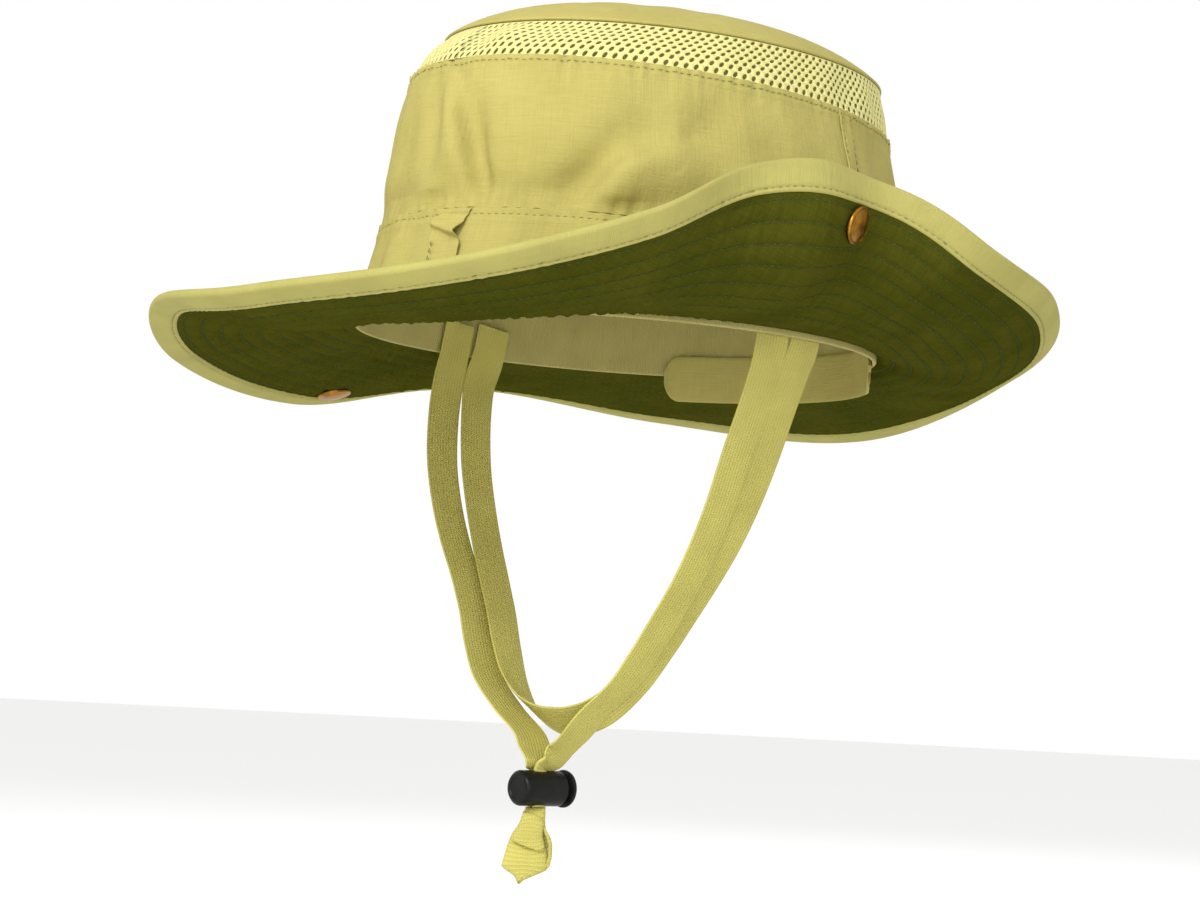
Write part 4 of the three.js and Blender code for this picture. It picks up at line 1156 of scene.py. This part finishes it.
def make_vent():
    """The net: staggered rows of slanted oval holes whose edges dip and carry painted shade, with a
    wall behind.
    """
    size = sizes()
    columns, rows, sides = size.net_columns // 2 * 2, size.net_rows, 10
    cell = np.array([(0, 0), (0.5, 0), (1, 0), (1, 1), (0.5, 1), (0, 1)], float)
    strand = ellipse_loop(0.3, 0.47, 0.22, sides)
    hole = ellipse_loop(0.185, 0.37, 0.3, sides)
    outer_faces = bridge(cell, strand)
    low, high = crown_levels(3, 4, size.gap / 2, 1)[[0, -1]]
    boundary = np.array([(c / 2, r) for r in range(rows + 1) for c in range(2 * columns)], float)
    starts = np.array([(c + (r % 2) / 2, r) for r in range(rows) for c in range(columns)], float)
    loops = [(starts[:, None] + loop).reshape(-1, 2) for loop in (strand, hole)]
    flat = np.concatenate([boundary, *loops])
    sink = np.concatenate([np.full(len(boundary), -0.00005), np.zeros(len(loops[0])),
                           np.full(len(loops[1]), -0.0004)])
    faces = []
    for k, (x, r) in enumerate(starts):
        east = [int(round(2 * (x + dx))) % (2 * columns) for dx in (0, 0.5, 1)]
        r = int(r)
        ring = [r * 2 * columns + e for e in east] + [(r + 1) * 2 * columns + e for e in east[::-1]]
        strand_at = len(boundary) + k * sides
        hole_at = len(boundary) + len(loops[0]) + k * sides
        names = ring + [strand_at + s for s in range(sides)]
        faces += [tuple(names[i] for i in face) for face in outer_faces]
        for s in range(sides):
            t = (s + 1) % sides
            faces.append((strand_at + s, strand_at + t, hole_at + t, hole_at + s))
    degrees = flat[:, 0] * 360 / columns
    level = low + (high - low) * flat[:, 1] / rows
    step = 1e-3
    ahead = crown_point(degrees + 1, level) - crown_point(degrees - 1, level)
    above = crown_point(degrees, np.minimum(level + step, 4)) - crown_point(degrees, level - step)
    normals = np.cross(ahead, above)
    normals /= np.linalg.norm(normals, axis=1, keepdims=True)
    belly = 0.0006 * ripple(degrees, level * 0.02, 61, waves=(5, 26), drift=40)
    belly = belly * np.sin(np.pi * flat[:, 1] / rows)
    points = crown_point(degrees, level) + normals * (sink + belly)[:, None]
    piece = mesh_piece("vent_net_knit", points, faces)
    face_outwards(piece)
    layer = piece.data.uv_layers.new(name="cloth")
    corners = np.empty(len(piece.data.loops), int)
    piece.data.loops.foreach_get("vertex_index", corners)
    girth = mean_radius()
    uv = np.stack([np.radians(degrees) * girth, wall_height(level)], -1)
    layer.data.foreach_set("uv", uv[corners].ravel())
    # The open attribute is 1 on the holes' inner edges, where the knit's material paints shade.
    shade = piece.data.attributes.new("open", "FLOAT", "POINT")
    inner = np.zeros(len(points), np.float32)
    inner[len(boundary) + len(loops[0]):] = 1
    shade.data.foreach_set("value", inner)
    modified(piece, "SOLIDIFY", thickness=0.0006, offset=-1)
    finished(piece, material("vent_knit"), ["vent_net"], angle=60)


def tip_point(degrees, share, lift):
    """Points of the crown's tip, at a share of the way from its middle to its rim."""
    size = sizes()
    top = CROWN_RINGS[-1]
    centre = np.array([0, size.head_length / 2 * top.back, top.height * size.crown_height])
    dome = (1 - top.height) * size.crown_height - size.cloth - size.gap
    share = np.asarray(share)
    point = (crown_point(degrees, 4.0) - centre) * share[..., None] + centre
    point[..., 2] += dome * (1 - np.clip(share, 0, 1) ** TIP_FLATNESS) + size.gap / 2 + lift
    return point


def make_tip():
    """The crown's flat top, with its edge turned under and sewn to the net."""
    size = sizes()
    shares = np.array([1.0, 1.004, 1.003, 0.996, 0.985, 0.975, 0.968, 0.96, 0.95, 0.93,
                       *np.linspace(0.9, 0.06, 24), 0.001])
    lifts = np.full(len(shares), size.cloth)
    lifts[:4] = size.cloth * np.array([0.1, 0.4, 0.75, 0.95])
    degrees = round_angles(264)[:, None]
    share = np.broadcast_to(shares, (degrees.shape[0], len(shares)))
    soft = ripple(degrees, share * 0.05, 71, waves=(4, 18), drift=60) * (1 - share ** 8) * share
    gathers = ripple(degrees, share * 0.05, 72, waves=(50, 130), drift=60)
    gathers = gathers * np.exp(-(np.abs(share - 0.94) / 0.04) ** 2)
    lift = lifts + 0.0005 * np.minimum(soft, 0) + 0.0002 * gathers
    points = tip_point(degrees, share, lift)
    piece = cloth("crown_tip_cloth", points, points[..., :2].copy(), size.ply)
    finished(piece, material("khaki_cloth"), ["crown_tip"])


def make_sweatband():
    """The soft band inside the head opening, rounded at its lower edge."""
    size = sizes()
    outside = -(size.cloth + size.gap)
    thick = 0.0015
    foot = -(size.brim_face + size.gap + 0.0018)
    top_level = 0.82
    heights = np.linspace(0, 1, 15)
    turn = np.radians(np.linspace(0, 180, 9))
    inward = np.concatenate([np.zeros(15), (1 - np.cos(turn[1:-1])) / 2, np.ones(15), [0.0]])
    drop = np.concatenate([np.zeros(15), np.sin(turn[1:-1]), np.zeros(15), [0.0]])
    share = np.concatenate([heights[::-1], np.zeros(7), heights, [1.0]])
    degrees = round_angles(360)[:, None]
    level = np.broadcast_to(share * top_level, (degrees.shape[0], len(share)))
    relief = 0.0002 * ripple(degrees, level * 0.03, 81, waves=(20, 80), drift=300)
    points = crown_point(degrees, level, outside - thick * inward + relief * (inward > 0.5))
    top = crown_point(degrees, np.full_like(level, top_level))[..., 2] - size.gap
    points[..., 2] = foot + thick / 2 + (top - foot - thick / 2) * share - thick / 2 * drop
    path = np.concatenate([[0], np.cumsum(np.linalg.norm(np.diff(points[0], axis=0), axis=1))])
    u = np.radians(degrees) * mean_radius()
    uv = np.stack(np.broadcast_arrays(u, path), -1)
    piece = cloth("sweatband_cloth", points[:, ::-1], uv[:, ::-1], 0.0, (True, True))
    finished(piece, material("sweatband_tape"), ["sweatband"], angle=60)


def make_tab():
    """The tab sewn behind the sweatband, with round ends and a shallow groove near its edge."""
    size = sizes()
    outside = -(size.cloth + 0.0015 + 2 * size.gap)
    sewn, drop, round_share = 0.005, 0.013, 0.1
    share = np.sin(np.linspace(-1, 1, 121) * np.pi / 2)[:, None]
    past = np.maximum(np.abs(share) - 1 + round_share, 0) / (1.01 * round_share)
    half = (drop + sewn) / 2 * np.sqrt(np.maximum(1 - past ** 2, 0))
    across = np.linspace(-1, 1, 21)[None, :]
    degrees = 180 + share * TAB_HALF_ANGLE
    grid = np.broadcast_to(across, (share.shape[0], across.shape[1]))
    edge = np.maximum(np.abs(grid), np.abs(share) ** 6)
    relief = -0.00035 * np.exp(-((edge - 0.84) / 0.035) ** 2) - 0.0004 * smooth(0.97, 1, edge)
    points = crown_point(degrees + 0 * grid, np.zeros_like(grid), outside - size.cloth - relief)
    points[..., 2] = (sewn - drop) / 2 + half * grid
    u = np.radians(degrees) * size.head_length / 2
    uv = np.stack(np.broadcast_arrays(u, points[..., 2]), -1)
    piece = cloth("back_tab_cloth", points[::-1], uv[::-1], size.cloth * 0.9, (False, False))
    finished(piece, material("khaki_cloth"), ["back_tab"])


def snap_frame(side):
    """The place of a snap on the brim and the brim's upward direction there."""
    reach = sizes().brim_width - sizes().snap_inset
    angles = side * SNAP_ANGLE + np.array([-1.5, 0.0, 1.5])
    point, along, _ = brim_frame(angles, np.full(3, reach))
    round_way = (point[2] - point[0]) * side
    normal = np.cross(along[1], round_way) * side
    normal = normal / np.linalg.norm(normal)
    if side > 0:
        normal = normal - SNAP_TILT * round_way / np.linalg.norm(round_way)
    return Vector(point[1]), Vector(normal / np.linalg.norm(normal))


def stud_frame(side):
    """The place of a stud in the crown's wall and the wall's outward direction there."""
    inside = -sizes().cloth / 2
    centre = side * SNAP_ANGLE
    point = crown_point(centre, STUD_LEVEL, inside)
    below, above = (crown_point(centre, STUD_LEVEL + step, inside) for step in (-0.2, 0.2))
    before, after = (crown_point(centre + turn, STUD_LEVEL, inside) for turn in (-7.5, 7.5))
    normal = np.cross(after - before, above - below)
    return Vector(point), Vector(normal / np.linalg.norm(normal))


def make_snaps():
    """Snap caps under the brim with their sockets above, and the studs on the crown."""
    size = sizes()
    over = size.brim_face + size.gap
    r = size.snap_radius
    cap = [(0.12 * r, -over - 0.0022), (0.35 * r, -over - 0.00214), (0.6 * r, -over - 0.0019),
           (0.78 * r, -over - 0.00155), (0.86 * r, -over - 0.00128), (0.89 * r, -over - 0.0013),
           (0.94 * r, -over - 0.00135), (0.98 * r, -over - 0.00115), (r, -over - 0.0007),
           (r, -over - 0.0002), (0.98 * r, -over), (0.0018, -over), (0.0018, over),
           (0.0043, over), (0.0045, over + 0.0002), (0.0045, over + 0.001),
           (0.0043, over + 0.0013), (0.0038, over + 0.0014), (0.0031, over + 0.0013),
           (0.0027, over + 0.001), (0.0026, over + 0.0004), (0.0003, over + 0.0003)]
    face = size.cloth / 2 + 0.9 * MM
    stud = [(0.0003, -face - 0.0008), (0.0043, -face - 0.0008), (0.0045, -face - 0.0006),
            (0.0045, -face), (0.0018, -face), (0.0018, face), (0.0043, face),
            (0.0045, face + 0.0002), (0.0045, face + 0.0006), (0.0042, face + 0.0008),
            (0.0022, face + 0.001),
            (0.0018, face + 0.0013), (0.0018, face + 0.0018), (0.002, face + 0.0022),
            (0.0019, face + 0.0026), (0.0013, face + 0.0028), (0.0003, face + 0.00285)]
    for name, side in (("left", 1), ("right", -1)):
        piece = placed(turned(f"snap_{name}_brass", cap, 64), *snap_frame(side))
        finished(piece, material("brass"), [f"snap_{name}"], angle=40)
        piece = placed(turned(f"stud_{name}_brass", stud, 40), *stud_frame(side))
        finished(piece, material("brass"), [f"stud_{name}"], angle=40)


def route(rows, steps):
    """A centripetal curve through a strap's rows: its points, directions and table places."""
    knees = np.array([(row.x, row.y, row.z) for row in rows], float) * MM
    ends = np.concatenate([[2 * knees[0] - knees[1]], knees, [2 * knees[-1] - knees[-2]]])
    shares = np.linspace(0, len(rows) - 1, steps + 1)
    points, tangents = [], []
    for share in shares:
        low = min(int(share), len(rows) - 2)
        t = share - low
        a, b, c, d = ends[low:low + 4]
        before, during, after = (max(np.linalg.norm(q - p), 1e-9) ** 0.5
                                 for p, q in ((a, b), (b, c), (c, d)))
        leave = ((b - a) / before - (c - a) / (before + during) + (c - b) / during) * during
        reach = ((c - b) / during - (d - b) / (during + after) + (d - c) / after) * during
        square, cube = 3 * (c - b) - 2 * leave - reach, 2 * (b - c) + leave + reach
        points.append(b + leave * t + square * t ** 2 + cube * t ** 3)
        tangents.append(leave + 2 * square * t + 3 * cube * t ** 2)
    tangents = np.array(tangents)
    return np.array(points), tangents / np.linalg.norm(tangents, axis=1, keepdims=True), shares


def ribbon_section(width, thickness, ribs, samples=88):
    """The outline of a flat braid: round edges and lengthwise ribs on both faces."""
    turns = TAU * np.arange(samples + 1) / samples
    x = np.sign(np.cos(turns)) * np.abs(np.cos(turns)) ** 0.75
    body = np.sign(np.sin(turns)) * np.abs(np.sin(turns)) ** 0.45
    rib = 0.86 + 0.14 * np.abs(np.cos(np.pi * (ribs * x / 2 + (ribs % 2 == 0) * 0.5)))
    return x * width / 2, body * rib * thickness / 2


def ribbon(name, rows, steps):
    """A flat braid carried along its rows, as a closed tube with rounded ends."""
    points, tangents, shares = route(rows, steps)

    def mix(column_name):
        return np.interp(shares, np.arange(len(rows)), column(rows, column_name))

    turn, tip = np.radians(mix("lean")), np.radians(mix("tip"))
    wide = np.stack([-np.sin(turn) * np.cos(tip), np.cos(turn) * np.cos(tip), -np.sin(tip)], -1)
    wide -= tangents * np.sum(wide * tangents, axis=1, keepdims=True)
    wide /= np.linalg.norm(wide, axis=1, keepdims=True)
    thin = np.cross(tangents, wide)
    distance = arc_length(points)
    x, y = ribbon_section(1, 1, sizes().braid_ribs)
    widths, depths = mix("width") * MM, mix("thickness") * MM
    flat = points[:, None] + wide[:, None] * (x * widths[:, None])[..., None]
    grid = flat + thin[:, None] * (y * depths[:, None])[..., None]
    ends = [np.broadcast_to(points[k], grid[k].shape) for k in (0, -1)]
    grid = np.concatenate([ends[0][None], grid, ends[1][None]])
    u = np.concatenate([[distance[0]], distance, distance[-1:]])[:, None]
    uv = np.stack(np.broadcast_arrays(u, x * sizes().strap_width), -1)
    piece = cloth(name, grid, uv, 0.0, (True, True))
    face_outwards(piece)
    return piece, points


def mirrored(row, side):
    """A row of the route on the given side of the hat."""
    return row._replace(x=side * row.x, lean=side * row.lean)


def front_strap_rows(side):
    """The front strap's rows on one side, down to the lock and gathered through it."""
    rows = [mirrored(row, side) for row in FRONT_STRAP] + FRONT_STRAP_ENDS[side]
    place = LOCK_CENTRE / MM + Vector((0, 0, 1)).cross(lock_axis()) * -side * LOCK_SPREAD
    for height in LOCK_HEIGHTS:
        rows.append(knee(place.x, place.y, place.z + height, lean=LOCK_TURN - 90,
                         width=5.4, thickness=2.3))
    return rows


def make_straps():
    """The chin strap: a front strap on each side into the lock, and one under the chin."""
    for name, side in (("left", 1), ("right", -1)):
        piece, path = ribbon(f"front_strap_{name}_braid", front_strap_rows(side), 176)
        finished(piece, material("braid"), [f"front_strap_{name}"])
    left = [mirrored(row, 1) for row in UNDER_CHIN_STRAP]
    right = [mirrored(row, -1) for row in UNDER_CHIN_STRAP[-2::-1]]
    piece, path = ribbon("under_chin_strap_braid", left + right, 288)
    finished(piece, material("braid"), ["under_chin_strap"])


def lock_axis():
    """The direction of the lock's barrel, towards its button."""
    return Vector((np.cos(np.radians(LOCK_TURN)), np.sin(np.radians(LOCK_TURN)), 0))


def make_lock():
    """The cord lock: a chamfered barrel and the sprung button at its end."""
    size = sizes()
    r, half = size.lock_radius, size.lock_length / 2
    barrel = [(0.0004, -half + 0.0004), (0.6 * r, -half + 0.0003), (0.66 * r, -half),
              (r - 0.0013, -half), (r - 0.0009, -half + 0.0002), (r - 0.0001, -half + 0.0011),
              (r, -half + 0.0015), (r, half - 0.0004), (r - 0.0003, half), (r - 0.0012, half),
              (r - 0.0015, half - 0.0004), (r - 0.0015, half - 0.0048), (0.0006, half - 0.0048)]
    piece = placed(turned("lock_barrel_plastic", barrel, 64), LOCK_CENTRE, lock_axis())
    finished(piece, material("black_plastic"), ["lock_barrel"], angle=35)
    face = half + LOCK_TRAVEL + size.gap
    button = [(0.0006, half - 0.0026), (r - 0.0018, half - 0.0026), (r - 0.0018, face),
              (r + 0.0001, face), (r + 0.0004, face + 0.0002), (r + 0.0004, face + 0.0009),
              (r + 0.0002, face + 0.0013), (r - 0.0004, face + 0.0017), (0.5 * r, face + 0.0018),
              (0.0006, face + 0.0018)]
    piece = placed(turned("lock_button_plastic", button, 64), LOCK_CENTRE, lock_axis())
    finished(piece, material("black_plastic"), ["lock_plunger"], BUTTON_BODY, 35)


Strip = namedtuple("Strip", "drop left right front")
KNOT_WRAPS = [
    (0.003, [Strip(0, -3.8, 3.2, -0.2), Strip(1.6, -4.4, 3.3, 0), Strip(3.2, -5, 3.3, 0.2),
             Strip(6, -5, 3.6, -0.8), Strip(10, -6, 4.8, -1.4), Strip(14, -7, 5, -1.8),
             Strip(17, -8, 4.6, -2)]),
    (0.0024, [Strip(1.2, -4.6, -1.2, 0.6), Strip(2.6, -5, 2.2, 1.4), Strip(4, -5.6, 3.2, 2),
              Strip(6, -6.5, 3, 2.4), Strip(8.6, -7.8, 2.9, 2.8), Strip(11, -8.3, 3, 3.1),
              Strip(12.8, -8.1, 3.4, 3.3), Strip(13.6, -6.6, 3.6, 3.2), Strip(14.6, -2.6, 3.8, 3),
              Strip(15.6, 1.6, 3.9, 2.6)]),
    (0.0034, [Strip(9.4, -8, 3.4, -1), Strip(12.4, -8.8, 4.2, -0.4), Strip(15, -9.6, 4.8, 0.4),
              Strip(18, -10.5, 5, 0.9), Strip(20.4, -11.3, 5, 0.8), Strip(21.2, -10.2, 4.4, 0.6),
              Strip(22.4, -7.8, 1.4, 0.4), Strip(23.4, -6.4, -0.8, 0.2), Strip(24.6, -5.8, -3.2, 0),
              Strip(26.6, -5.1, -4.7, 0)]),
    (0.0013, [Strip(6.2, 2.6, 3.6, 1.8), Strip(8.2, 3.2, 4.5, 2.6), Strip(11, 4.2, 5.6, 3.2),
              Strip(14, 4.9, 6.3, 3.2), Strip(17.4, 5, 6.4, 2.6), Strip(19.8, 4.2, 5.8, 1.8),
              Strip(21.2, 2.4, 4.4, 0.8)]),
]


def make_knot():
    """The knot under the lock: folded wraps of the braid round each other."""
    turn = np.radians(KNOT_TURN)
    wide = np.array([np.cos(turn), np.sin(turn), 0])
    near = np.array([np.sin(turn), -np.cos(turn), 0])
    top = np.array(LOCK_CENTRE) - np.array([0, 0, sizes().lock_radius + 0.0004])
    s = np.linspace(0, TAU, 57)[:, None]
    parts = []
    for half_depth, rows in KNOT_WRAPS:
        drops = column(rows, "drop")
        t = np.linspace(drops[0], drops[-1], 73)
        left, right, front = (np.interp(t, drops, column(rows, name))
                              for name in ("left", "right", "front"))
        ends = np.clip(np.minimum(t - drops[0] + 0.3, drops[-1] - t + 0.02) / 1.2, 0, 1) ** 0.5
        depth = half_depth * ends
        rib = 0.00016 * np.cos(TAU * t / (15 / sizes().braid_ribs))
        across = np.sign(np.cos(s)) * np.abs(np.cos(s)) ** 0.8
        swell = np.sign(np.sin(s)) * np.abs(np.sin(s)) ** 0.6
        x = ((left + right) / 2 + (right - left) / 2 * across) * MM
        y = front * MM + (depth + rib * ends) * swell
        z = -t * MM - 0.0012 * np.abs(across) ** 2 * np.sin(t / 3)
        grid = top + x[..., None] * wide + y[..., None] * near
        grid[..., 2] += z
        caps = [np.broadcast_to(grid[:, k].mean(axis=0), grid[:, k].shape) for k in (0, -1)]
        grid = np.concatenate([caps[0][:, None], grid, caps[1][:, None]], axis=1)
        drop = np.concatenate([t[:1], t, t[-1:]]) * MM
        length_along = np.concatenate([x[:, :1], x, x[:, -1:]], axis=1)
        uv = np.stack(np.broadcast_arrays(length_along, drop), -1)
        parts.append(cloth("strap_knot_braid", grid, uv, 0.0, (True, True)))
    bpy.ops.object.select_all(action="DESELECT")
    for part in parts:
        part.select_set(True)
    bpy.context.view_layer.objects.active = parts[0]
    bpy.ops.object.join()
    piece = bpy.context.active_object
    face_outwards(piece)
    finished(piece, material("braid"), ["strap_knot"], angle=70)


# Operators, one for each piece or group of like pieces and one for the stage


class AddStage(bpy.types.Operator):
    """Adds the camera, the floor and the lights"""

    bl_idname = "hat.add_stage"
    bl_label = "Stage"

    def execute(self, context):
        make_camera()
        make_stage()
        return {"FINISHED"}


class AddLock(bpy.types.Operator):
    """Adds the cord lock's barrel and its sprung button"""

    bl_idname = "hat.add_lock"
    bl_label = "Cord Lock"

    def execute(self, context):
        make_lock()
        return {"FINISHED"}


class AddKnot(bpy.types.Operator):
    """Adds the knot under the cord lock"""

    bl_idname = "hat.add_knot"
    bl_label = "Knot"

    def execute(self, context):
        make_knot()
        return {"FINISHED"}


class AddStraps(bpy.types.Operator):
    """Adds the front straps and the strap under the chin"""

    bl_idname = "hat.add_straps"
    bl_label = "Chin Strap"

    def execute(self, context):
        make_straps()
        return {"FINISHED"}


class AddBrim(bpy.types.Operator):
    """Adds the brim's two layers of cloth and their rows of stitches"""

    bl_idname = "hat.add_brim"
    bl_label = "Brim"

    def execute(self, context):
        make_brim()
        return {"FINISHED"}


class AddBinding(bpy.types.Operator):
    """Adds the tape round the brim's edge"""

    bl_idname = "hat.add_binding"
    bl_label = "Binding"

    def execute(self, context):
        make_binding()
        return {"FINISHED"}


class AddCrown(bpy.types.Operator):
    """Adds the band, the panels and the seam strips of the crown"""

    bl_idname = "hat.add_crown"
    bl_label = "Crown"

    def execute(self, context):
        make_crown()
        make_tuck()
        return {"FINISHED"}


class AddCrownStitches(bpy.types.Operator):
    """Adds the rows of stitches on the crown's seams"""

    bl_idname = "hat.add_crown_stitches"
    bl_label = "Crown Stitches"

    def execute(self, context):
        make_crown_stitches()
        return {"FINISHED"}


class AddVent(bpy.types.Operator):
    """Adds the net of the vent"""

    bl_idname = "hat.add_vent"
    bl_label = "Vent"

    def execute(self, context):
        make_vent()
        return {"FINISHED"}


class AddTip(bpy.types.Operator):
    """Adds the top of the crown"""

    bl_idname = "hat.add_tip"
    bl_label = "Crown Tip"

    def execute(self, context):
        make_tip()
        return {"FINISHED"}


class AddSweatband(bpy.types.Operator):
    """Adds the band inside the head opening"""

    bl_idname = "hat.add_sweatband"
    bl_label = "Sweatband"

    def execute(self, context):
        make_sweatband()
        return {"FINISHED"}


class AddTab(bpy.types.Operator):
    """Adds the tab behind the sweatband"""

    bl_idname = "hat.add_tab"
    bl_label = "Back Tab"

    def execute(self, context):
        make_tab()
        return {"FINISHED"}


class AddSnaps(bpy.types.Operator):
    """Adds the snaps of the brim and the studs of the crown"""

    bl_idname = "hat.add_snaps"
    bl_label = "Snaps"

    def execute(self, context):
        make_snaps()
        return {"FINISHED"}


OPERATORS = [AddStage, AddLock, AddKnot, AddStraps, AddBrim, AddBinding, AddCrown,
             AddCrownStitches, AddVent, AddTip, AddSweatband, AddTab, AddSnaps]


class HatPanel(bpy.types.Panel):
    """The hat's operators, sizes and colours"""

    bl_idname = "VIEW3D_PT_outback_hat"
    bl_label = "Outback Hat"
    bl_space_type = "VIEW_3D"
    bl_region_type = "UI"
    bl_category = "Hat"

    def draw(self, context):
        for each in OPERATORS:
            self.layout.operator(each.bl_idname)
        for group in (context.scene.hat_sizes, context.scene.hat_colours):
            for name in group.__annotations__:
                self.layout.prop(group, name)


CLASSES = [HatSizes, HatColours, *OPERATORS, HatPanel]


def register():
    """Registers the settings, the operators and the panel."""
    for each in CLASSES:
        bpy.utils.register_class(each)
    bpy.types.Scene.hat_sizes = bpy.props.PointerProperty(type=HatSizes)
    bpy.types.Scene.hat_colours = bpy.props.PointerProperty(type=HatColours)


def unregister():
    """Removes the settings, the operators and the panel."""
    del bpy.types.Scene.hat_sizes, bpy.types.Scene.hat_colours
    for each in reversed(CLASSES):
        bpy.utils.unregister_class(each)


def main():
    """Makes every piece in order."""
    register()
    bpy.ops.hat.add_stage()
    bpy.ops.hat.add_lock()
    bpy.ops.hat.add_knot()
    bpy.ops.hat.add_straps()
    bpy.ops.hat.add_brim()
    bpy.ops.hat.add_binding()
    bpy.ops.hat.add_crown()
    bpy.ops.hat.add_crown_stitches()
    bpy.ops.hat.add_vent()
    bpy.ops.hat.add_tip()
    bpy.ops.hat.add_sweatband()
    bpy.ops.hat.add_tab()
    bpy.ops.hat.add_snaps()


if __name__ == "__main__":
    main()
